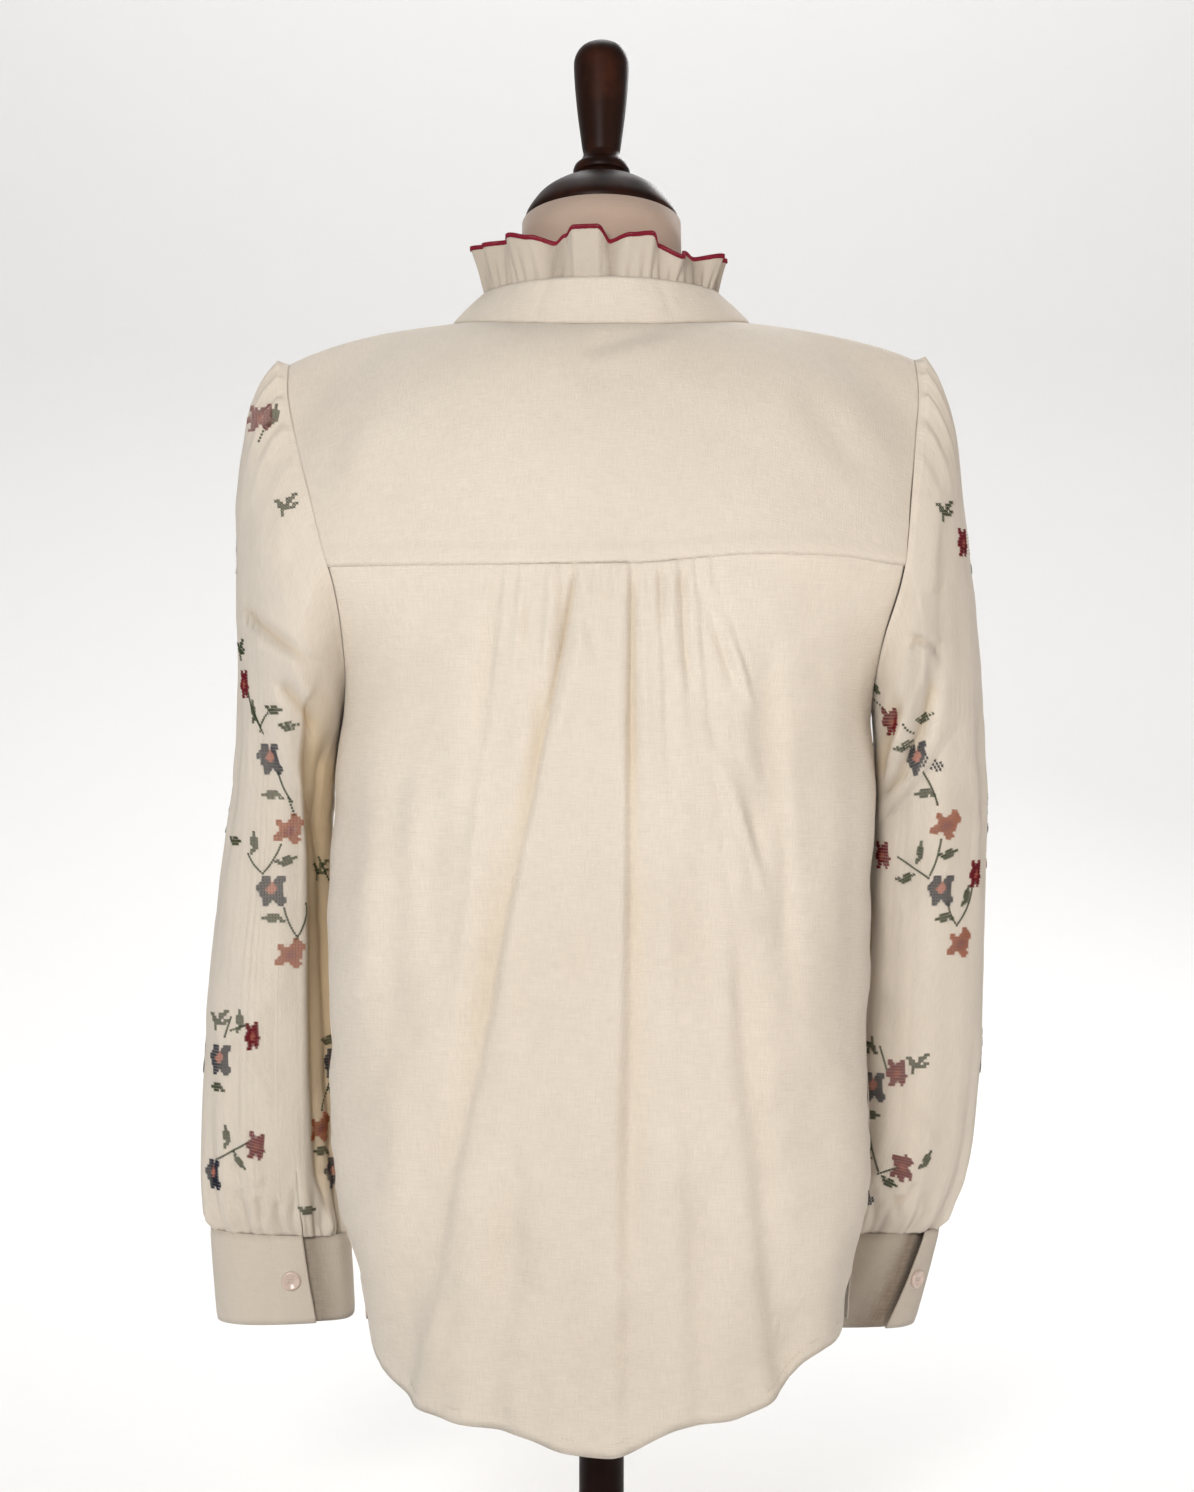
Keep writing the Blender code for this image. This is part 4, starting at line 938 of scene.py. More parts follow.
def stand_points(edge, turn):
    away = np.sin(np.radians(turn))
    x = edge.half_width * np.cos(np.radians(turn))
    back = np.stack([x, edge.back * away, edge.height + edge.back_rise * away**2], axis=-1)
    drop = edge.front_drop * np.abs(away) ** NECK_DROP_POWER
    front = np.stack([x, edge.front * away, edge.height - drop], axis=-1)
    return np.where((away >= 0)[:, None], back, front)


def lap_step(turn, under_end, run=LAP_RUN):
    return LAP_STEP * np.clip((under_end + run + LAP_RUN - turn) / run, 0, 1)


def flat_out(points):
    out = points * np.array([1.0, 1.0, 0.0])
    return out / np.linalg.norm(out, axis=-1, keepdims=True)


def make_stand(cotton):
    """The neck band, lapped at the centre front."""
    turns = np.linspace(STAND_UNDER_END, STAND_OVER_END, 340)
    low, high = stand_points(STAND_BASE, turns), stand_points(STAND_TOP, turns)
    rows = []
    for share in np.linspace(1, 0, 16):
        point = low + (high - low) * share
        point[:, 2] += 0.25 - 0.8 * (1 - share) ** 8
        point = point - flat_out(point) * lap_step(turns, STAND_UNDER_END)[:, None]
        swell = 0.5 * sin(pi * share) + 0.25 * np.sin(np.radians(turns * 7 + 40 * share))
        crease = 0.9 * np.exp(-(((turns - 64.0) / 2.0) ** 2)) + 0.6 * np.exp(-(((turns - 118.0) / 2.4) ** 2))
        pressed = 0.5 if 0.06 < share < 0.94 else 0.0
        rows.append(point + flat_out(point) * (swell - crease + pressed - 0.5)[:, None])
    grid = np.array(rows)
    stand = shell("stand", grid, cotton, wall=BAND_SHELL)
    wear(stand, "cream_cotton", "collar_stand")
    cut(stand, 505, 36, "stretched", ["yoke"], 0.95)
    return grid


def ruffle_wave(value, turn):
    """A column of the ruffle's table, eased from each wave to the next."""
    keys = np.array([row.turn for row in RUFFLE], float)
    values = np.array([getattr(row, value) for row in RUFFLE], float)
    i = np.clip(np.searchsorted(keys, turn) - 1, 0, len(keys) - 2)
    return values[i] + (values[i + 1] - values[i]) * ease((turn - keys[i]) / (keys[i + 1] - keys[i]))


def make_ruffle(cotton):
    """The gathered strip round the top of the band."""
    turns = np.linspace(RUFFLE[0].turn, RUFFLE[-1].turn, 720)
    seam = stand_points(STAND_TOP, turns)
    out, rise = ruffle_wave("out", turns), ruffle_wave("rise", turns)
    pleat = np.exp(-(((turns - 83.0) / 6.0) ** 6))
    fine = np.sin(np.radians(turns) * 62 + 1.6 * np.sin(np.radians(turns) * 9)) * (1 - 0.7 * pleat)
    rows = []
    for level in np.linspace(1, 0, 20):
        swing = out + 1.6 * np.sin(pi * (out - 5.0) / 10.0) + 0.5
        away = -1.0 + 1.4 * (out / 10 - 0.5) * (1 - level) + (swing - 1.5) * level
        away = away + 0.95 * fine * (1 - level) ** 1.3 * ease(level / 0.08)
        away = away + 0.8 * np.sin(np.radians(turns * 23)) * level * (1 - pleat) * 0.5
        point = seam + flat_out(seam) * away[:, None]
        point[:, 2] += rise * level
        rows.append(point)
    grid = np.array(rows)
    # Painted shade over the whole ruffle, deeper where its waves lie further in
    painted_ruffle_shade = -0.38 - np.clip((5.0 - out) / 14.0, 0, 0.3)[None, :] * np.ones((len(grid), 1))
    ruffle = shell("ruffle", grid, cotton, wall=0.6, painted_shade=painted_ruffle_shade)
    wear(ruffle, "cream_cotton", "collar_ruffle")
    cut(ruffle, 620, 27, "gathered", ["stand"], 0.95)
    return grid


# The sleeves
def table_value(table, column, section):
    """A sleeve's column at a section number that need not be whole."""
    values = np.array([getattr(row, column) for row in table], float)
    keys = np.arange(1, len(table) + 1, dtype=float)
    slopes = np.gradient(values)
    section = np.clip(section, 1, len(table))
    i = np.clip(np.floor(section).astype(int) - 1, 0, len(table) - 2)
    t = section - keys[i]
    start = values[i] * (1 + 2 * t) * (1 - t) ** 2 + slopes[i] * t * (1 - t) ** 2
    return start + values[i + 1] * t**2 * (3 - 2 * t) - slopes[i + 1] * t**2 * (1 - t)


def armhole_edges(left):
    """Both halves of the armhole's seam, from the underarm up to the shoulder."""
    halves = []
    for front in (False, True):
        heights = np.linspace(UNDERARM, YOKE_SEAM, 30)
        low = section_points(armhole_turn(heights, left, front), heights)
        corner = armhole_turn(YOKE_SEAM, left, front)
        tip = 0.0 if left else (-180.0 if front else 180.0)
        high = [upper_line(turn)[-1] for turn in np.linspace(corner, tip, 60)[1:]]
        halves.append(np.vstack([low, high]))
    return halves


SleeveFold = namedtuple("SleeveFold", "section turn end_section end_turn depth width lean")
BOTH_FOLDS = named(SleeveFold, [
    (3.4, 322, 6.4, 342, 3.0, 8, 0.3), (6.0, 38, 8.6, 20, 2.8, 8, 0.2), (8.2, 338, 12.4, 344, 2.2, 6, 0),
    (4.8, 345, 6.4, 318, 3.0, 8, 0.4), (4.8, 200, 6.8, 290, 4.0, 12, 0.4),
])
LEFT_FOLDS = BOTH_FOLDS + named(SleeveFold, [
    (6.0, 320, 9.5, 250, 3.0, 10, 0), (8.5, 300, 12.6, 306, 2.4, 7, 0), (9.5, 340, 12.8, 330, 2.2, 6, 0),
    (9.0, 250, 12.8, 262, 2.4, 6, 0), (3.0, 300, 5.0, 255, 2.2, 9, 0), (9.5, 12, 12.8, 20, 2.0, 6, 0),
])
RIGHT_FOLDS = BOTH_FOLDS + named(SleeveFold, [
    (6.4, 320, 9.5, 260, 3.0, 10, 0), (8.5, 296, 12.6, 302, 2.4, 7, 0), (9.5, 344, 12.8, 336, 2.2, 6, 0),
    (9.2, 240, 12.8, 252, 2.4, 6, 0), (3.0, 300, 5.0, 255, 2.2, 9, 0),
])


# Creases of the sleeves by their places seen from behind and from in front
LEFT_BEHIND = named(Crease, [
    (222, 89, 165, 47, -4, 7.0, 3.4, 0.5), (214, 70, 182, 42, -3, -3.8, 8.0, 0.0),
    (196, 40, 170, 0, 3, 7.5, 4.4, 0.4), (222, 4, 219, -150, 2, -1.8, 8.0, 0.2),
    (206, 30, 196, -50, -3, 1.8, 5.0, 0.2), (240, -110, 232, -220, 4, 1.8, 7.0, 0),
    (236, -180, 204, -216, 4, 1.6, 3.0, 0.2), (202, -150, 199, -262, -3, 2.0, 6.0, 0.2),
    (238, -236, 214, -284, -3, 1.8, 3.4, 0.2), (206, 190, 199, 110, 3, 1.8, 5.0, 0.3),
    (216, 150, 212, 80, -3, 1.6, 6.0, 0), (192, 120, 178, 66, 3, 1.6, 4.0, 0.2),
    (228, -284, 222, -300, 1, 2.0, 2.4, 0), (216, -280, 213, -302, 1, 2.2, 2.6, 0),
    (203, -286, 204, -304, -1, 2.0, 2.4, 0), (192, -276, 195, -302, 1, 2.0, 2.6, 0),
])
RIGHT_BEHIND = named(Crease, [
    (-200, 50, -169, -38, 7, 8.5, 4.6, 0.5), (-190, 52, -168, -6, 3, 4.0, 5.0, 0.0),
    (-184, 64, -209, 55, 2, 4.2, 2.6, 0.5), (-172, -34, -196, -12, 2, 4.0, 2.6, 0.5),
    (-208, 150, -206, 20, -3, 3.0, 4.0, 0.4), (-196, 100, -180, 50, 3, 3.0, 6.0, 0.3),
    (-190, -60, -192, -130, 2, 1.8, 3.0, 0.3), (-170, -40, -178, -150, -4, 2.6, 6.0, -0.3),
    (-226, -20, -232, -150, 4, 1.6, 9.0, 0), (-212, -130, -214, -240, -4, 1.8, 7.0, 0),
    (-193, -235, -219, -262, 3, 2.6, 3.0, 0.4), (-200, -276, -180, -298, 2, 2.2, 2.6, 0.2),
    (-176, -150, -184, -240, 3, 1.8, 6.0, 0), (-214, 110, -222, 40, -3, 1.6, 6.0, 0),
    (-186, -282, -190, -308, 1, 2.0, 2.6, 0), (-172, -280, -174, -308, 1, 2.0, 2.6, 0),
    (-205, -284, -206, -306, 1, 2.0, 2.6, 0),
])
LEFT_AHEAD = named(Crease, [
    (224, 84, 168, 40, 4, 4.0, 7.0, 0.4), (220, 60, 172, 10, 4, -2.4, 6.0, 0),
    (212, -20, 206, -170, 4, 2.0, 8.0, 0), (232, -90, 224, -230, -4, 1.8, 8.0, 0),
    (186, -60, 190, -220, 4, 2.0, 7.0, 0.2), (206, 190, 198, 100, 3, 1.8, 6.0, 0.2),
    (230, -230, 196, -270, 3, 1.8, 3.4, 0.2), (210, -276, 206, -304, 1, 2.0, 2.6, 0),
    (190, -280, 194, -304, 1, 2.0, 2.6, 0),
])
RIGHT_AHEAD = [Crease(-c.x1, c.z1, -c.x2 + 6, c.z2 - 8, -c.bow, c.depth, c.width, c.lean) for c in LEFT_AHEAD]

# Where the back of each sleeve falls away towards the body, behind the edge of a fold
Hollow = namedtuple("Hollow", "z x depth run")
SLEEVE_HOLLOW_LEFT = named(Hollow, [
    (-300, 174, 0, 4.0), (-270, 183, 8, 4.0), (-200, 186, 12, 4.0), (-140, 186, 13, 4.0),
    (-70, 184, 13, 4.0), (-10, 186, 12, 4.0), (24, 182, 6, 4.0), (46, 170, 0, 4.0),
])
SLEEVE_HOLLOW_RIGHT = named(Hollow, [
    (-300, 160, 0, 7.0), (-250, 170, 6, 7.0), (-120, 173, 8, 7.0), (-50, 172, 7, 7.0), (-30, 175, 9, 7.0),
    (20, 184, 10, 7.0), (50, 176, 0, 7.0),
])


def sleeve_folds(folds, section, turn):
    """How far the folds of a sleeve sink, by section and turn."""
    sunk = np.zeros_like(turn)
    for f in folds:
        along = (section - f.section) / (f.end_section - f.section)
        centre = f.turn + (f.end_turn - f.turn) * ease(along)
        across = (turn - centre + 180) % 360 - 180
        width = f.width * (1 + f.lean * np.tanh(across / f.width))
        fade = ease(along / 0.22) * ease((1 - along) / 0.3)
        sunk += f.depth * fade * np.exp(-((across / width) ** 2))
        sunk -= 0.3 * f.depth * fade * np.exp(-(((np.abs(across) - 2.1 * f.width) / f.width) ** 2))
    return sunk


def make_sleeve(name, table, folds, cotton, left, node, slit):
    """A full sleeve, gathered at its head and at the cuff, with a slit above the cuff."""
    side = 1 if left else -1
    last = len(table)
    columns = 264
    sections = np.concatenate([
        np.linspace(0, 1, 7)[:-1], np.linspace(1, 4, 32)[:-1],
        np.linspace(4, 11, 66)[:-1], np.linspace(11, last, 24),
    ])
    turns = np.linspace(0, 360, columns, endpoint=False)
    section, turn = np.meshgrid(sections, turns, indexing="ij")
    along, away = np.cos(np.radians(turn)), np.sin(np.radians(turn))
    halves = armhole_edges(left)
    top = halves[0][-1][2]
    seam_z = (top + UNDERARM) / 2 + (top - UNDERARM) / 2 * along
    seam_y = np.where(
        away >= 0, np.interp(seam_z, halves[0][:, 2], halves[0][:, 1]),
        np.interp(seam_z, halves[1][:, 2], halves[1][:, 1]),
    )
    seam_x = armhole_x(seam_z, left) + SHOWN_ARMHOLE_GAP
    ends = armhole_x(np.array([UNDERARM, top]), left)
    bow = armhole_x(seam_z, left) - np.interp(seam_z, [UNDERARM, top], ends)

    value = {column: table_value(table, column, section) for column in SleeveSection._fields}
    half_x = (value["out_x"] - value["in_x"]) / 2
    half_z = (value["out_z"] - value["in_z"]) / 2
    half = np.hypot(half_x, half_z)
    centred = (turn + 180) % 360 - 180
    swell = np.zeros_like(turn)
    depth = np.interp(section, np.arange(len(HEAD_DEPTHS) + 1), (*HEAD_DEPTHS, 0.0))
    fade = np.cos(np.radians(90 * np.clip(np.abs(centred) / HEAD_REACH, 0, 1)))
    swell += depth * fade * np.cos(np.radians(centred * 180 * HEAD_GATHERS / HEAD_REACH))
    swell += 0.35 * depth * fade * np.cos(np.radians(centred * 360 * HEAD_GATHERS / HEAD_REACH + 60))
    swell -= 0.9 * np.exp(-((section / 0.25) ** 2))
    depth = np.interp(section, [last - 3.6, last - 2.6, last - 1, last - 0.4, last], (0.0, *CUFF_DEPTHS))
    uneven = 1 + 0.3 * np.sin(np.radians(2.6 * centred + 40))
    swell += depth * uneven * np.cos(np.radians(centred * CUFF_GATHERS))
    near_cuff = np.interp(section, [last - 1.4, last - 0.5, last], [0.0, 1.0, 0.6])
    swell += 0.9 * near_cuff * np.cos(np.radians(centred * 37 + 50 * np.sin(np.radians(centred * 3))))
    for crease in SLEEVE_CREASES:
        near = np.clip(1 - np.abs(section - crease.section), 0, 1)
        apart = (turn - crease.turn + 180) % 360 - 180
        swell -= crease.depth * ease(near) * np.exp(-((apart / crease.spread) ** 2))
    swell -= sleeve_folds(folds, section, turn)

    kept = np.interp(section, np.arange(len(HEAD_SHAPE)), HEAD_SHAPE, right=0.0)
    squared = signed_power(along, 2 / SLEEVE_POWER)
    squared = squared + (along - squared) * kept
    bulged = signed_power(away, 2 / SLEEVE_POWER)
    x = (value["out_x"] + value["in_x"]) / 2 + half_x / half * squared * (half + swell)
    z = (value["out_z"] + value["in_z"]) / 2 + half_z / half * squared * (half + swell)
    deep = np.where(away >= 0, value["back"], value["front"])
    free_y = value["mid_y"] + bulged * (deep + swell)
    y = free_y + (seam_y + away * (swell + section) - free_y) * kept
    x = x + bow * kept
    from_seam = np.clip(section, 0, 1)
    point = np.stack([x, y, z], axis=-1)
    seam = np.stack([seam_x, seam_y, seam_z], axis=-1)
    grid = seam + (point - seam) * from_seam[..., None]
    grid[..., 0] *= side
    x, z = grid[..., 0], grid[..., 2]
    towards = ease(np.abs(away) / 0.5)
    calm = ease((section - 1.5) / 2) * ease((last - section) / 0.7)
    behind = away > 0
    rough = rumple(x, z, 42.0, 0.7, 21 + left) + rumple(x * 1.2, z * 0.6, 22.0, 0.4, 23 + left)
    pressed = lines_sunk(LEFT_BEHIND if left else RIGHT_BEHIND, x, z) * behind
    pressed += lines_sunk(LEFT_AHEAD if left else RIGHT_AHEAD, x, z) * ~behind
    bits = scattered(46, (150, 250) if left else (-245, -140), (-300, 120), 41 + left)
    pressed += lines_sunk(bits, x, z)
    away_in = SLEEVE_HOLLOW_LEFT if left else SLEEVE_HOLLOW_RIGHT
    edge = np.interp(z, [row.z for row in away_in], [row.x for row in away_in])
    held = np.interp(z, [row.z for row in away_in], [row.depth for row in away_in])
    recess = held * ease((edge - np.abs(x)) / away_in[0].run) * behind * ease((section - 2.2) / 2.2)
    moved = (rough + pressed) * calm * towards + recess * towards * ease((last - section) / 0.5)
    middle_out = np.stack([0.35 * along * side, away, np.zeros_like(away)], axis=-1)
    middle_out /= np.linalg.norm(middle_out, axis=-1, keepdims=True)
    grid = grid - middle_out * moved[..., None]
    # Painted shade in the deeper creases and in the recess towards the body
    tint = np.clip((pressed - 2.0) / 16.0, 0, 0.4) * calm + np.clip(recess / 14.0, 0, 1)
    if not left:
        grid = np.concatenate([grid[:, :1], grid[:, :0:-1]], axis=1)
        tint = np.concatenate([tint[:, :1], tint[:, :0:-1]], axis=1)
    cell = round(slit / 360 * columns)
    cell = cell if left else columns - 1 - cell
    start = int(np.searchsorted(sections, last - 2.0))
    left_out = {(r, cell) for r in range(start, len(sections) - 1)}
    narrow = np.clip((sections - (last - 2.0)) / 2.0, 0, 1) * (0.35 if left else 1.0)
    for r in range(start, len(sections)):
        a, b = grid[r, cell].copy(), grid[r, (cell + 1) % columns].copy()
        middle = (a + b) / 2
        grid[r, cell] = middle + (a - middle) * narrow[r]
        grid[r, (cell + 1) % columns] = middle + (b - middle) * narrow[r]
    sleeve = shell(name, grid, cotton, closed=True, left_out=left_out, painted_shade=tint)
    wear(sleeve, "cream_cotton", node)
    cut(sleeve, 440, 560, "gathered", ["form_body"], 0.86)
    return sleeve


def make_cuff(name, table, cotton, left, node):
    """A lapped cuff."""
    side = np.array([1.0 if left else -1.0, 1.0, 1.0])
    rows, painted_cuff_shades = [], []
    for level in np.linspace(0, 2, 14):
        i = min(int(level), 1)
        t = level - i
        row = {c: getattr(table[i], c) * (1 - t) + getattr(table[i + 1], c) * t for c in CuffLevel._fields}
        turns = np.linspace(row["end"] - 360 - CUFF_LAP, row["end"], 240)
        start = row["end"] - 360 - CUFF_LAP
        step = lap_step(turns, start, CUFF_LAP_RUN)
        sunk = CUFF_HOLLOW * ease((start + 84 - turns) / 30) * ease((turns - start) / 10)
        step = step + sunk
        along, away = np.cos(np.radians(turns)), np.sin(np.radians(turns))
        half_x, half_z = (row["out_x"] - row["in_x"]) / 2, (row["out_z"] - row["in_z"]) / 2
        half = np.hypot(half_x, half_z)
        soft = 0.35 * np.sin(np.radians(turns * 5 + 60 * level)) + (0.35 if 0.12 < level < 1.88 else -0.1)
        squared = signed_power(along, 2 / SLEEVE_POWER) * (half - step + soft) / half
        bulged = signed_power(away, 2 / SLEEVE_POWER) * (row["depth"] - step + soft)
        x = (row["out_x"] + row["in_x"]) / 2 + half_x * squared
        z = (row["out_z"] + row["in_z"]) / 2 + half_z * squared
        z = z + 1.1 * (1 - level) ** 6 if level < 1 else z
        points = np.stack([x, row["mid_y"] + bulged, z], axis=-1) * side
        rows.append(points if left else points[::-1])
        # Painted shade over the whole cuff, more on the right one, deepest where the under part sinks inside
        # the lap
        shade = -(0.2 if left else 0.42) - 0.58 * sunk / CUFF_HOLLOW
        painted_cuff_shades.append(shade if left else shade[::-1])
    grid = np.array(rows)
    cuff = shell(name, grid, cotton, wall=BAND_SHELL, painted_shade=np.array(painted_cuff_shades))
    wear(cuff, "cream_cotton", node)
    cut(cuff, 285, 57, "stretched", [name.replace("cuff", "sleeve")], 0.98)


# Pieces that repeat: stitches and crosses, laid by geometry nodes
def node_group(name, inputs):
    group = bpy.data.node_groups.new(name, "GeometryNodeTree")
    group.interface.new_socket("Geometry", in_out="INPUT", socket_type="NodeSocketGeometry")
    for label, kind, value in inputs:
        socket = group.interface.new_socket(label, in_out="INPUT", socket_type=kind)
        if value is not None:
            socket.default_value = value
    group.interface.new_socket("Geometry", in_out="OUTPUT", socket_type="NodeSocketGeometry")
    return group


def named_attribute(group, name, kind):
    node = group.nodes.new("GeometryNodeInputNamedAttribute")
    node.data_type = kind
    node.inputs["Name"].default_value = name
    return node.outputs["Attribute"]


def stitch_group():
    """Lays a rounded thread on every point, turned by the point's own directions and sized by its length."""
    group = node_group("stitches", [
        ("Thickness", "NodeSocketFloat", 0.0005),
        ("Unevenness", "NodeSocketFloat", 0.15),
        ("Seed", "NodeSocketInt", 3),
        ("Thread", "NodeSocketMaterial", None),
    ])
    add, link = group.nodes.new, group.links.new
    enter, leave = add("NodeGroupInput"), add("NodeGroupOutput")
    upright = add("GeometryNodeMeshCylinder")
    upright.inputs["Vertices"].default_value = 5
    upright.inputs["Radius"].default_value = 0.5
    upright.inputs["Depth"].default_value = 1.0
    bar = add("GeometryNodeTransform")
    bar.inputs["Rotation"].default_value = (0.0, pi / 2, 0.0)
    link(upright.outputs["Mesh"], bar.inputs["Geometry"])
    along = named_attribute(group, "along", "FLOAT_VECTOR")
    out = named_attribute(group, "out", "FLOAT_VECTOR")
    length = named_attribute(group, "length", "FLOAT")
    turn = add("FunctionNodeAxesToRotation")
    turn.primary_axis, turn.secondary_axis = "X", "Z"
    link(along, turn.inputs["Primary Axis"])
    link(out, turn.inputs["Secondary Axis"])
    uneven = add("FunctionNodeRandomValue")
    uneven.data_type = "FLOAT"
    spread = add("ShaderNodeMath")
    spread.operation = "SUBTRACT"
    spread.inputs[0].default_value = 1.0
    link(enter.outputs["Unevenness"], spread.inputs[1])
    link(spread.outputs[0], uneven.inputs[2])
    uneven.inputs[3].default_value = 1.0
    link(enter.outputs["Seed"], uneven.inputs["Seed"])
    run = add("ShaderNodeMath")
    run.operation = "MULTIPLY"
    link(length, run.inputs[0])
    link(uneven.outputs[1], run.inputs[1])
    scale = add("ShaderNodeCombineXYZ")
    link(run.outputs[0], scale.inputs[0])
    link(enter.outputs["Thickness"], scale.inputs[1])
    link(enter.outputs["Thickness"], scale.inputs[2])
    lay = add("GeometryNodeInstanceOnPoints")
    link(enter.outputs["Geometry"], lay.inputs["Points"])
    link(bar.outputs["Geometry"], lay.inputs["Instance"])
    link(turn.outputs["Rotation"], lay.inputs["Rotation"])
    link(scale.outputs[0], lay.inputs["Scale"])
    real = add("GeometryNodeRealizeInstances")
    link(lay.outputs["Instances"], real.inputs["Geometry"])
    paint = add("GeometryNodeSetMaterial")
    link(real.outputs["Geometry"], paint.inputs["Geometry"])
    link(enter.outputs["Thread"], paint.inputs["Material"])
    link(paint.outputs["Geometry"], leave.inputs[0])
    return group


STITCHES = {}


def lay_stitches(name, stitches, material, thickness, unevenness=0.15, seed=3):
    """A piece of many stitches, each given as its middle, direction, outward direction and length in mm."""
    if "group" not in STITCHES:
        STITCHES["group"] = stitch_group()
    middles, alongs, outs, lengths = (np.array([s[k] for s in stitches], float) for k in range(4))
    mesh = bpy.data.meshes.new(name)
    mesh.from_pydata((middles * MM + BUST_POINT * MM).tolist(), [], [])
    for label, values in (("along", alongs), ("out", outs)):
        attribute = mesh.attributes.new(label, "FLOAT_VECTOR", "POINT")
        attribute.data.foreach_set("vector", values.astype(np.float32).ravel())
    attribute = mesh.attributes.new("length", "FLOAT", "POINT")
    attribute.data.foreach_set("value", (lengths * MM).astype(np.float32))
    piece = placed(name, mesh)
    lay = piece.modifiers.new("Stitches", "NODES")
    lay.node_group = STITCHES["group"]
    given = {"Thickness": thickness * MM, "Unevenness": unevenness, "Seed": seed, "Thread": material}
    for socket in lay.node_group.interface.items_tree:
        if socket.item_type == "SOCKET" and socket.in_out == "INPUT" and socket.name in given:
            lay[socket.identifier] = given[socket.name]
    piece.update_tag()
    bpy.context.view_layer.update()
    settled(piece)
    for label in ("along", "out", "length"):
        if label in piece.data.attributes:
            piece.data.attributes.remove(piece.data.attributes[label])
    piece.data.shade_smooth()
    if not len(piece.data.materials):
        piece.data.materials.append(material)
    wear(piece, "cream_cotton")


def surface(piece):
    """What finds a place on a finished piece, in millimetres from the bust line."""
    mesh = piece.data
    points = np.empty(len(mesh.vertices) * 3)
    mesh.vertices.foreach_get("co", points)
    points = points.reshape(-1, 3) / MM - BUST_POINT
    return BVHTree.FromPolygons(points.tolist(), [p.vertices[:] for p in mesh.polygons])


def run_of_stitches(tree, line, pitch=3.0, length=2.1, lift=0.1):
    """Stitches in a row along a line of points on a piece."""
    lengths = lengths_along(line)
    made = []
    for at in np.arange(pitch / 2, lengths[-1], pitch):
        here = spot_along(line, lengths, at)
        ahead = spot_along(line, lengths, min(at + 0.8, lengths[-1]))
        spot, out, _, _ = tree.find_nearest(Vector(here))
        run = Vector(ahead - here)
        if run.length < 1e-6:
            continue
        run = (run - out * run.dot(out)).normalized()
        if Vector(flat_out(here)).dot(out) < -0.2:
            out = -out
        made.append((np.array(spot + out * lift), np.array(run), np.array(out), length))
    return made


def make_overlock(edge, thread):
    """The overlock along the ruffle's edge: slanting stitches on both sides, and one over the edge."""
    lengths = lengths_along(edge)
    overlock = []
    for at in np.arange(0.4, lengths[-1], 0.75):
        here = spot_along(edge, lengths, at)
        ahead = spot_along(edge, lengths, min(at + 0.6, lengths[-1]))
        run = ahead - here
        if np.linalg.norm(run) < 1e-6:
            continue
        run = run / np.linalg.norm(run)
        away = np.cross(run, np.array([0.0, 0.0, 1.0]))
        away = away / np.linalg.norm(away)
        slant = np.array([0.0, 0.0, 1.0]) + run * 0.25
        slant = slant / np.linalg.norm(slant)
        for side in (-0.55, 0.45):
            middle = here + away * side - np.array([0.0, 0.0, 0.9])
            overlock.append((middle, slant, away, 3.0))
        overlock.append((here + np.array([0.0, 0.0, 0.25]), run, away, 1.5))
    lay_stitches("ruffle_overlock", overlock, thread, 0.85, 0.15, 9)


# Cross-stitch charts: M is the flower's main colour, C its centre, G green
NAVY_CHART = [
    "..MMM..MMM",
    "..MMM.MMMM",
    ".MMMMCMMM.",
    "MMMMCCCMM.",
    "MMMCCCCMM.",
    ".MMMCCMMM.",
    ".MMMMMMMM.",
    "..MMMMMMMM",
    "..MMM.MMMM",
    "..MM...MM.",
]
ORANGE_CHART = [
    "......MM..",
    "......MMM.",
    ".MM..MMMMM",
    ".MMMMMMMMM",
    "..MMMCCMM.",
    "..MMCCCMM.",
    ".MMMCCMMM.",
    "MMMMMMMM..",
    "MMM..MMMM.",
    "......MM..",
]
RED_CHART = [
    ".MM....MM.",
    ".MMM.MMMM.",
    "..MMMMMMM.",
    ".MMMMCMMM.",
    "MMMMCCCMM.",
    "MMMMCCMMMM",
    "..MMMMMMM.",
    "..MMM.MMM.",
    ".MMM...M..",
]
LEAF_CHART = [
    "GG.GGG..",
    ".GGGGGGG",
    "..GGGG..",
]
SPRIG_CHART = [
    "......GG",
    "GG..GGG.",
    ".GG.GG..",
    ".GGGG.GG",
    "..GGGGG.",
    "..G.....",
    "..G.....",
]
CHARTS = {
    "navy": NAVY_CHART, "orange": ORANGE_CHART, "red": RED_CHART, "leaf": LEAF_CHART, "sprig": SPRIG_CHART,
}
CROSS = 1.9
EMBROIDERY_REACH = 30.0
CROSS_THREAD = 0.6

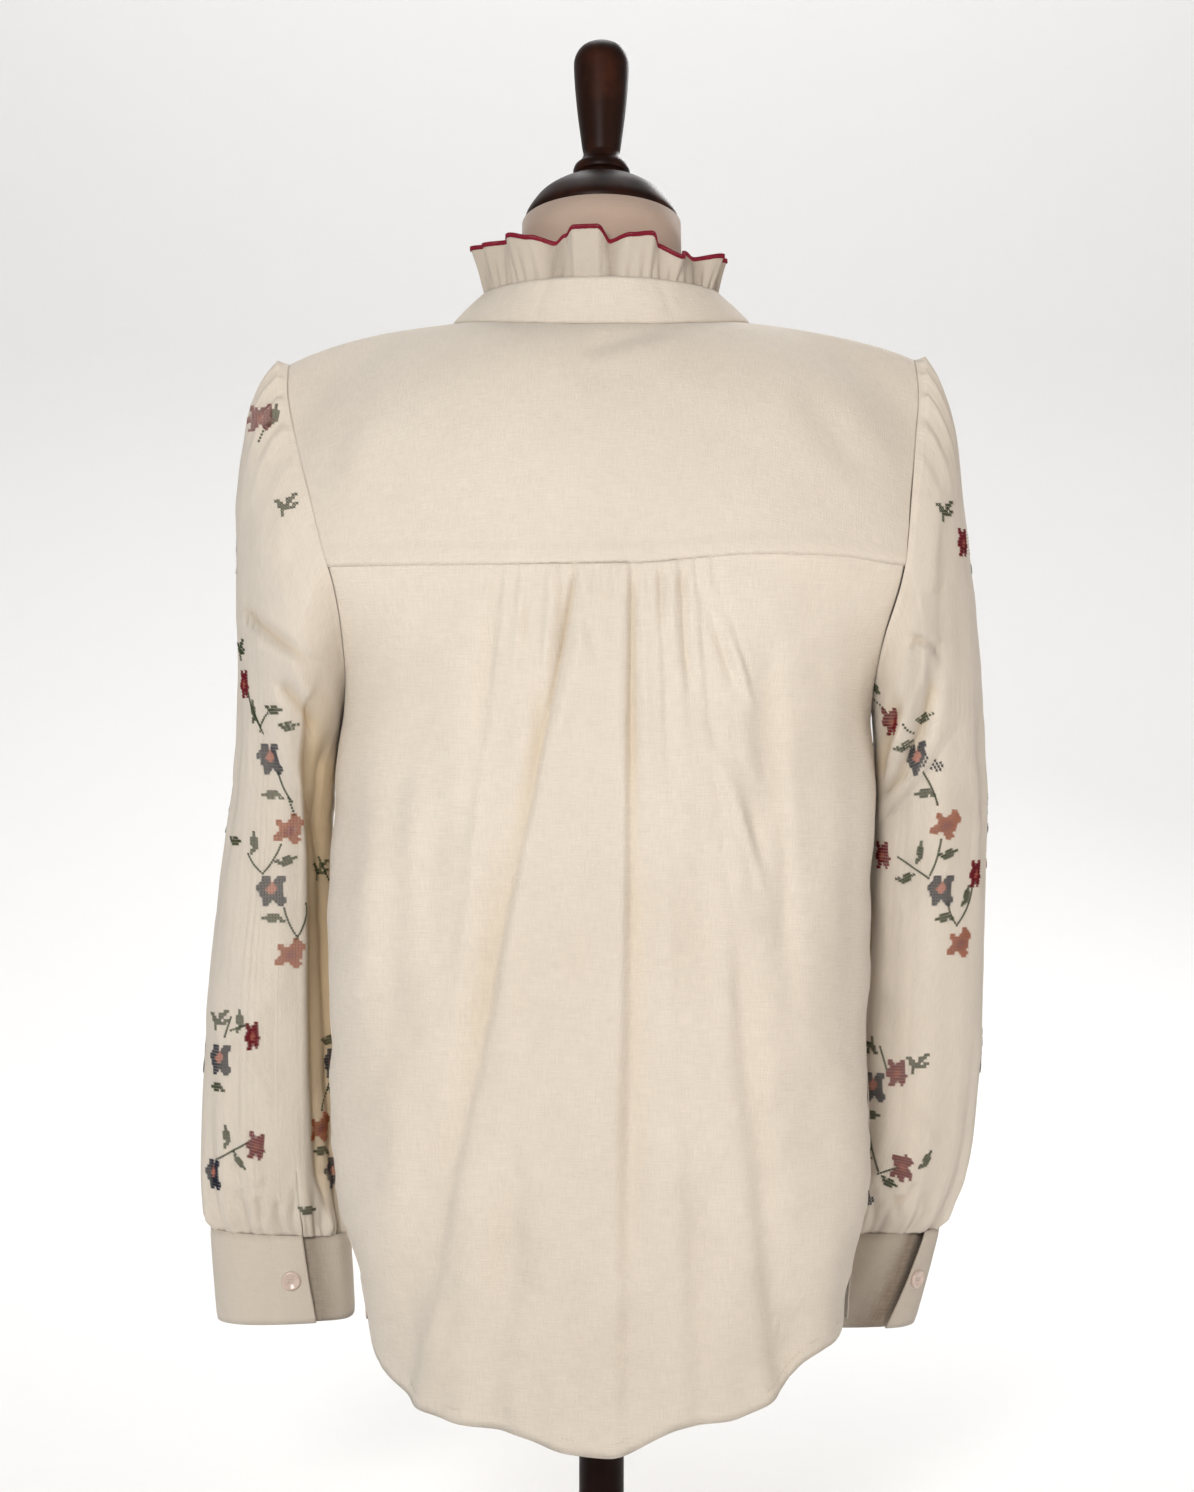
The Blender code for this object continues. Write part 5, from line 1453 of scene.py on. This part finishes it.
# Embroidery seen from behind: a motif's middle, its turn and how much narrower a fold makes it
Motif = namedtuple("Motif", "kind x z turn squeeze")
Stem = namedtuple("Stem", "x1 z1 x2 z2 bow")
LEFT_MOTIFS = named(Motif, [
    ("red", 209, 201, 0, 1.0), ("leaf", 200, 202, 80, 1.0), ("sprig", 190, 145, 10, 1.0),
    ("sprig", 221, 59, 0, 1.0), ("red", 219, 38, 0, 0.6), ("leaf", 213, 21, 80, 0.8),
    ("leaf", 199, 22, 0, 1.0), ("leaf", 190, 12, 10, 0.9), ("navy", 203, -8, 0, 1.0),
    ("leaf", 202, -30, 180, 1.0), ("orange", 193, -51, 0, 1.0), ("leaf", 195, -71, 20, 1.0),
    ("leaf", 215, -60, 85, 1.0), ("leaf", 228, -59, 0, 0.8), ("navy", 205, -90, 0, 1.0),
    ("leaf", 204, -107, 180, 1.0), ("orange", 194, -129, 0, 1.0), ("sprig", 178, -78, 0, 1.0),
    ("sprig", 240, -172, 0, 1.0), ("leaf", 226, -172, 90, 1.0), ("red", 218, -181, 5, 0.5),
    ("navy", 240, -197, 0, 1.0), ("leaf", 241, -214, 180, 0.8), ("leaf", 174, -187, 10, 0.9),
    ("navy", 171, -202, 0, 0.8), ("leaf", 170, -220, 0, 0.7), ("orange", 178, -241, 0, 1.0),
    ("leaf", 177, -256, 180, 0.8), ("navy", 170, -271, 0, 0.9), ("leaf", 235, -245, 95, 0.9),
    ("leaf", 227, -260, -40, 0.9), ("red", 216, -250, -10, 0.6), ("navy", 244, -270, 0, 0.8),
    ("leaf", 185, -292, 0, 0.8),
])
LEFT_STEMS = named(Stem, [
    (216, 32, 209, 12, 1), (213, 22, 207, 8, 0), (200, 22, 209, 9, 2), (198, -16, 190, -34, 1),
    (192, -32, 189, -42, 0), (198, -61, 210, -79, -1), (219, -67, 210, -79, 1), (197, -101, 190, -118, 1),
    (184, -98, 190, -120, -2), (178, -70, 172, -86, 0), (232, -178, 221, -174, 0),
    (236, -182, 232, -170, 0), (172, -212, 177, -230, 1), (242, -260, 221, -248, 0),
    (171, -248, 166, -260, 0), (205, 196, 209, 186, 0),
])
RIGHT_MOTIFS = named(Motif, [
    ("sprig", -208, 142, 0, 1.0), ("red", -220, 124, 0, 0.7), ("red", -178, 15, 0, 0.9),
    ("leaf", -169, 36, -30, 0.9), ("leaf", -196, 17, 25, 0.9), ("leaf", -185, 0, 30, 0.9),
    ("navy", -193, -8, 15, 0.9), ("leaf", -199, -29, 185, 0.9), ("orange", -213, -48, -10, 1.0),
    ("leaf", -215, -67, 20, 0.9), ("red", -175, -68, 0, 1.0), ("leaf", -197, -66, 80, 0.6),
    ("leaf", -189, -82, 20, 0.8), ("navy", -211, -90, 0, 0.9), ("leaf", -214, -107, 190, 0.8),
    ("orange", -224, -123, 0, 0.9), ("leaf", -228, -94, 70, 0.7), ("red", -234, -80, 0, 0.5),
    ("red", -186, -206, 0, 0.7), ("sprig", -199, -200, 0, 1.0), ("navy", -172, -216, 0, 0.9),
    ("leaf", -171, -234, 0, 0.9), ("sprig", -170, -190, 180, 0.8), ("red", -191, -268, 80, 0.8),
    ("leaf", -206, -263, 60, 0.8), ("leaf", -183, -278, -20, 0.8), ("navy", -166, -284, 0, 0.8),
    ("sprig", -168, -262, 0, 0.7),
])
RIGHT_STEMS = named(Stem, [
    (-183, 13, -190, 8, 1), (-197, -16, -207, -36, -1), (-210, -58, -204, -80, -1),
    (-184, -69, -203, -82, 0), (-216, -98, -222, -112, 1), (-232, -88, -222, -112, -2),
    (-176, -190, -180, -204, 0), (-176, -272, -188, -268, 0), (-170, -240, -176, -270, 1),
    (-168, 30, -174, 22, 0),
])

# The outer side of both sleeves, by the place along y
SIDE_MOTIFS = named(Motif, [
    ("navy", 2, 128, 0, 1.0), ("leaf", 3, 110, 180, 1.0), ("orange", -10, 92, 0, 1.0),
    ("sprig", -28, 112, 0, 1.0), ("leaf", -24, 76, 20, 1.0), ("navy", -36, -34, 0, 1.0),
    ("leaf", -35, -52, 180, 1.0), ("orange", -48, -70, 0, 1.0), ("sprig", -66, -50, 0, 1.0),
    ("leaf", -60, -88, 20, 1.0), ("red", -62, -190, 0, 1.0), ("leaf", -50, -206, 180, 1.0),
])
SIDE_STEMS = named(Stem, [
    (4, 120, -6, 100, 1), (-26, 104, -13, 84, 1), (-34, -42, -44, -60, 1), (-64, -58, -50, -80, 1),
    (-60, -198, -52, -204, 0),
])
BEHIND, AHEAD = Vector((0, 1, 0)), Vector((0, -1, 0))
SIGHT = 400.0


def find_spot(tree, across, z, facing):
    """Where a level line meets a piece, seen from the side that a direction faces."""
    level = Vector((abs(facing.y), abs(facing.x), 0))
    start = level * across + facing * SIGHT + Vector((0, 0, z))
    spot, out, _, _ = tree.ray_cast(start, -facing)
    return spot, out


def chart_crosses(tree, motif, seen_from, shift):
    """The crosses of one motif as (colour letter, point, out, right)."""
    spot, out = find_spot(tree, motif.x, motif.z + shift, seen_from)
    if spot is None:
        return []
    facing = (Vector((out.x, out.y, 0)).normalized() + seen_from).normalized()
    up = Vector((0, 0, 1))
    right = up.cross(facing).normalized()
    chart = CHARTS[motif.kind]
    angle = radians(motif.turn)
    made = []
    for r, row in enumerate(chart):
        for c, letter in enumerate(row):
            if letter == ".":
                continue
            u = (c - (len(row) - 1) / 2) * CROSS
            v = ((len(chart) - 1) / 2 - r) * CROSS
            u, v = u * cos(angle) - v * sin(angle), u * sin(angle) + v * cos(angle)
            start = spot + right * u * motif.squeeze + up * v + facing * EMBROIDERY_REACH
            place, normal, _, _ = tree.ray_cast(start, -facing, 2 * EMBROIDERY_REACH)
            if place is None:
                continue
            made.append((letter, np.array(place), np.array((normal + facing).normalized()), np.array(right)))
    return made


def stem_crosses(tree, stem, seen_from, shift):
    """Small crosses along a stem."""
    first, last = np.array([stem.x1, stem.z1], float), np.array([stem.x2, stem.z2], float)
    length = np.linalg.norm(last - first)
    side = np.array([-(last - first)[1], (last - first)[0]]) / max(length, 1e-6)
    made = []
    for share in np.linspace(0, 1, max(2, int(length / (CROSS * 0.82)))):
        x, z = first + (last - first) * share + side * stem.bow * 4 * share * (1 - share)
        spot, out = find_spot(tree, x, z + shift, seen_from)
        if spot is not None:
            right = Vector((0, 0, 1)).cross(out).normalized()
            made.append(("S", np.array(spot), np.array(out), np.array(right)))
    return made


def embroider(name, sleeve, outward, motifs, stems, threads):
    """Cross-stitch on a sleeve, two threads a cross: behind as shown, and alike in front and outside."""
    tree = surface(sleeve)
    by_thread = {}
    sides = (
        (BEHIND, 0.0, motifs, stems), (AHEAD, -24.0, motifs, stems),
        (Vector((outward, 0, 0)), 0.0, SIDE_MOTIFS, SIDE_STEMS),
    )
    for seen_from, shift, side_motifs, side_stems in sides:
        crosses = []
        for motif in side_motifs:
            for letter, *rest in chart_crosses(tree, motif, seen_from, shift):
                thread = {"G": "green", "M": motif.kind, "C": motif.kind + "_centre"}[letter]
                crosses.append((thread, *rest))
        for stem in side_stems:
            crosses += [("stem", *rest) for letter, *rest in stem_crosses(tree, stem, seen_from, shift)]
        for thread, place, out, right in crosses:
            length = CROSS * (1.0 if thread == "stem" else 1.38)
            thread = "green" if thread == "stem" else thread
            up = np.cross(out, right)
            for lean, lift in ((1, 0.16), (-1, 0.34)):
                along = right * lean + up
                along = along / np.linalg.norm(along)
                stitch = (place + out * lift, along, out, length)
                by_thread.setdefault(thread, []).append(stitch)
    for thread, stitches in sorted(by_thread.items()):
        lay_stitches(f"{name}_{thread}", stitches, threads[thread], CROSS_THREAD, 0.12, 5)


def closed_piece(name, rings, material):
    """A closed smooth piece through rings of points in metres, from its top down."""
    bm = bmesh.new()
    lines = [[bm.verts.new(point) for point in ring] for ring in rings]
    for first, second in zip(lines, lines[1:]):
        for c in range(len(first)):
            n = (c + 1) % len(first)
            bm.faces.new((first[c], second[c], second[n], first[n]))
    bm.faces.new(lines[0])
    bm.faces.new(lines[-1][::-1])
    bmesh.ops.recalc_face_normals(bm, faces=bm.faces)
    mesh = bpy.data.meshes.new(name)
    bm.to_mesh(mesh)
    bm.free()
    mesh.shade_smooth()
    mesh.materials.append(material)
    return placed(name, mesh)


def rounded(profile):
    """A half outline with points added on a curve between its own, without its two ends on the axis."""
    points = np.array(profile[1:-1], float)
    made = []
    for i in range(len(points) - 1):
        before, here = points[max(i - 1, 0)], points[i]
        after, later = points[i + 1], points[min(i + 2, len(points) - 1)]
        for t in np.linspace(0, 1, 5)[:-1]:
            bend = 0.5 * ((after - before) * (t - 2 * t**2 + t**3) + (later - here) * (t**3 - t**2))
            made.append(here * (1 - 3 * t**2 + 2 * t**3) + after * (3 * t**2 - 2 * t**3) + bend)
    made.append(points[-1])
    made = np.array(made)
    made[:, 0] = np.minimum(made[:, 0], points[:, 0].max())
    return made


def make_turned(name, profile, middle, tilt, material, node):
    """A turned piece on an axis through a point in metres, tilted forwards."""
    lean = radians(tilt)
    rings = []
    for radius, height in rounded(profile):
        ring = []
        for angle in np.linspace(0, 2 * pi, 72, endpoint=False):
            x, y, z = radius * cos(angle) * MM, radius * sin(angle) * MM, height * MM
            away = middle[1] + y * cos(lean) - z * sin(lean)
            up = middle[2] + y * sin(lean) + z * cos(lean)
            ring.append((middle[0] + x, away, up))
        rings.append(ring)
    piece = closed_piece(name, rings, material)
    wear(piece, "dark_wood", node)


def neck_ring(radius, height, tilt, turns):
    """A ring round the neck, tilted forwards."""
    across, away = radius * np.cos(np.radians(turns)), radius * np.sin(np.radians(turns))
    return np.stack([across, away + NECK_MIDDLE, height + away * tan(radians(tilt))], axis=1)


def make_form(linen):
    """The dress form's body and neck."""
    turns = np.linspace(0, 360, 120, endpoint=False)
    top = neck_ring(NECK_RADIUS, CAP_HEIGHT - 0.4, CAP_TILT, turns)
    middle = neck_ring(NECK_RADIUS + 0.6, CAP_HEIGHT - 30, CAP_TILT, turns)
    root = neck_ring(NECK_ROOT_RADIUS, CAP_HEIGHT - NECK_LENGTH, CAP_TILT + 4, turns)
    rings = [top + (middle - top) * t for t in (0, 0.5)] + [middle + (root - middle) * t for t in (0, 0.5, 1)]
    lines = []
    for turn in turns:
        start = neck_point(turn)
        start = start - flat_out(start) * 4 - np.array([0, 0, FORM_INSET])
        end = section_points(turn, YOKE_SEAM, FORM)
        line = resample(shoulder_line(start, end, turn), np.linspace(0, 1, 13))
        line[:, 0] = np.clip(line[:, 0], -FORM_HALF_WIDTH, FORM_HALF_WIDTH)
        lines.append(line)
    rings += [np.array([line[k] for line in lines]) for k in range(13)]
    for height in np.linspace(84, FORM_BOTTOM, 22):
        rings.append(section_points(turns, height, FORM, 2.3))
    cover = closed_piece("form_cover", [(ring + BUST_POINT) * MM for ring in rings], linen)
    wear(cover, "form_linen", "form_body")


BUTTONS = [f"front_button_{n}" for n in range(1, 7)]
BUTTONS += ["collar_button", "left_cuff_button", "right_cuff_button"]

# Half outline of a button from its face to its back, as (radius, height)
BUTTON_PROFILE = [
    (0.0, 0.35), (2.6, 0.35), (3.6, 0.8), (4.6, 1.22), (5.4, 1.25), (6.0, 0.85), (6.15, 0.2), (5.9, -0.6),
    (5.2, -1.2), (0.0, -1.25),
]


def button_places():
    """Each button's node, its middle in millimetres from the bust line, and the way that its face points."""
    for node in BUTTONS:
        points = np.array([v.co for v in bpy.data.objects[node].data.vertices])
        centre = (points.min(0) + points.max(0)) / 2
        out = np.linalg.svd(points - points.mean(0))[2][2]
        side = 1.0 if node.endswith("cuff_button") else -1.0
        yield node, centre / MM - BUST_POINT, out * np.sign(out[1]) * side


def turned_button(name, centre, out, pearl):
    """A button with a sunk middle, and the stitches of its thread: two across, and four short ends."""
    out = Vector(out).normalized()
    across = out.cross(Vector((0, 0, 1))).normalized()
    upward = across.cross(out).normalized()
    sides = 40
    bm = bmesh.new()
    rings = []
    for radius, height in BUTTON_PROFILE:
        if radius == 0.0:
            rings.append([bm.verts.new(Vector(centre) + out * height)])
            continue
        ring = []
        for s in range(sides):
            angle = 2 * pi * s / sides
            spoke = across * cos(angle) + upward * sin(angle)
            ring.append(bm.verts.new(Vector(centre) + spoke * radius + out * height))
        rings.append(ring)
    for first, second in zip(rings, rings[1:]):
        for s in range(sides):
            n = (s + 1) % sides
            if len(first) == 1:
                bm.faces.new((first[0], second[s], second[n]))
            elif len(second) == 1:
                bm.faces.new((first[s], second[0], first[n]))
            else:
                bm.faces.new((first[s], second[s], second[n], first[n]))
    bmesh.ops.recalc_face_normals(bm, faces=bm.faces)
    for vert in bm.verts:
        vert.co = Vector((vert.co.x * MM, vert.co.y * MM, (vert.co.z + BUST_LINE) * MM))
    mesh = bpy.data.meshes.new(name)
    bm.to_mesh(mesh)
    bm.free()
    mesh.shade_smooth()
    mesh.materials.append(pearl)
    button = placed(name, mesh)
    middle = np.array(centre) + np.array(out) * 0.55
    right, up, face = np.array(across), np.array(upward), np.array(out)
    threads = [(middle + up * k, right, face, 2.8) for k in (-0.75, 0.75)]
    threads += [(middle + up * k + right * s * 1.2, right, face, 0.9) for k in (-0.75, 0.75) for s in (-1, 1)]
    return button, threads


def light(name, place, target, size, power, colour):
    lamp = bpy.data.lights.new(name, "AREA")
    lamp.shape = "DISK"
    lamp.size = size
    lamp.energy = power
    lamp.color = colour
    holder = placed(name, lamp)
    holder.location = place
    holder.rotation_euler = (Vector(target) - Vector(place)).to_track_quat("-Z", "Y").to_euler()


def make_room():
    """A pale floor, soft light from the upper left behind the camera, and the camera itself."""
    sweep = [(6.0, 0.0), (-2.2, 0.0)]
    sweep += [(-2.2 - 1.2 * sin(a), 1.2 - 1.2 * cos(a)) for a in np.radians(np.arange(5, 91, 5))]
    sweep.append((-3.4, 5.0))
    points = [(x, y, z - 0.0005) for y, z in sweep for x in (-6.0, 6.0)]
    faces = [(2 * i, 2 * i + 1, 2 * i + 3, 2 * i + 2) for i in range(len(sweep) - 1)]
    mesh = bpy.data.meshes.new("floor")
    mesh.from_pydata(points, [], faces)
    mesh.flip_normals()
    mesh.shade_smooth()
    mesh.materials.append(plain_finish("pale_floor", (0.9, 0.9, 0.9), 0.9))
    floor = placed("floor", mesh)
    world = bpy.data.worlds.new("studio")
    bpy.context.scene.world = world
    world.use_nodes = True
    world.node_tree.nodes["Background"].inputs["Color"].default_value = (1.0, 0.99, 0.975, 1.0)
    world.node_tree.nodes["Background"].inputs["Strength"].default_value = WORLD_STRENGTH
    for lamp in LAMPS:
        light(*lamp)
    camera = bpy.data.cameras.new("view")
    camera.lens = LENS
    camera.sensor_width = 36.0
    camera.sensor_fit = "AUTO"
    holder = placed("view", camera)
    holder.location = CAMERA
    holder.rotation_euler = (radians(90), 0, radians(180))
    bpy.context.scene.camera = holder
    bpy.context.scene.view_settings.view_transform = "Standard"


def main():
    cotton = cotton_finish("cream_cotton", (0.81, 0.742, 0.648), (0.71, 0.635, 0.535), (0.75, 0.635, 0.535))
    linen = linen_finish()
    wood = wood_finish()
    pearl = pearl_finish()
    threads = {
        "navy": thread_finish("navy_thread", (0.008, 0.016, 0.040), (0.004, 0.007, 0.018)),
        "navy_centre": thread_finish("peach_thread", (0.62, 0.24, 0.17), (0.46, 0.15, 0.11)),
        "orange": thread_finish("orange_thread", (0.42, 0.10, 0.03), (0.27, 0.06, 0.02)),
        "orange_centre": thread_finish("rose_thread", (0.26, 0.012, 0.022), (0.16, 0.008, 0.014)),
        "red": thread_finish("red_thread", (0.20, 0.010, 0.020), (0.11, 0.006, 0.012)),
        "red_centre": thread_finish("apricot_thread", (0.42, 0.12, 0.08), (0.30, 0.08, 0.05)),
        "green": thread_finish("green_thread", (0.075, 0.092, 0.042), (0.036, 0.046, 0.021)),
    }
    burgundy = thread_finish("burgundy_thread", (0.27, 0.010, 0.032), (0.17, 0.006, 0.02))
    cream_thread = thread_finish("cream_thread", (0.70, 0.62, 0.50), (0.55, 0.47, 0.36))

    seat = (0.0, NECK_MIDDLE * MM, (CAP_HEIGHT + BUST_LINE) * MM)
    lean = radians(CAP_TILT)
    cap_top = (0.0, seat[1] - CAP_TOP * MM * sin(lean), seat[2] + CAP_TOP * MM * cos(lean))
    make_turned("cap_shown", CAP_PROFILE, seat, CAP_TILT, wood, "neck_cap")
    make_turned("handle_shown", HANDLE_PROFILE, cap_top, CAP_TILT, wood, "cap_handle")
    make_turned("pole_shown", POLE_PROFILE, (0, 0, 0), 0, wood, "stand_pole")
    make_turned("base_shown", BASE_PROFILE, (0, 0, 0), 0, wood, "stand_base")
    make_form(linen)

    back, back_grid = make_back(cotton)
    make_front("left_front_cloth", cotton, True, "left_front")
    make_front("right_front_cloth", cotton, False, "right_front")
    stand_grid = make_stand(cotton)
    ruffle_grid = make_ruffle(cotton)
    left_sleeve = make_sleeve("left_sleeve_cloth", LEFT_SLEEVE, LEFT_FOLDS, cotton, True, "left_sleeve", 108)
    right_sleeve = make_sleeve(
        "right_sleeve_cloth", RIGHT_SLEEVE, RIGHT_FOLDS, cotton, False, "right_sleeve", 48,
    )
    make_cuff("left_cuff_cloth", LEFT_CUFF, cotton, True, "left_cuff")
    make_cuff("right_cuff_cloth", RIGHT_CUFF, cotton, False, "right_cuff")
    placket, placket_grid = make_placket(cotton)

    embroider("left_embroidery", left_sleeve, 1, LEFT_MOTIFS, LEFT_STEMS, threads)
    embroider("right_embroidery", right_sleeve, -1, RIGHT_MOTIFS, RIGHT_STEMS, threads)

    make_overlock(ruffle_grid[0], burgundy)

    seams = []
    back_tree, stand_tree = surface(back), surface(bpy.data.objects["stand"])
    hem_line = back_grid[-1] + np.array([0, 0, 8.5])
    seams += run_of_stitches(back_tree, hem_line)
    for row in (1, -2):
        seams += run_of_stitches(stand_tree, stand_grid[row])
    placket_tree = surface(placket)
    for column in (2, -3):
        seams += run_of_stitches(placket_tree, placket_grid[:, column])
    lay_stitches("seam_stitches", seams, cream_thread, 0.32, 0.2, 2)

    ties = []
    for node, centre, out in button_places():
        button, thread = turned_button(node + "_shown", centre, out, pearl)
        wear(button, "pearl_button", node)
        ties += thread
    lay_stitches("button_thread", ties, cream_thread, 0.45, 0.1, 4)

    make_room()
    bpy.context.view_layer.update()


main()
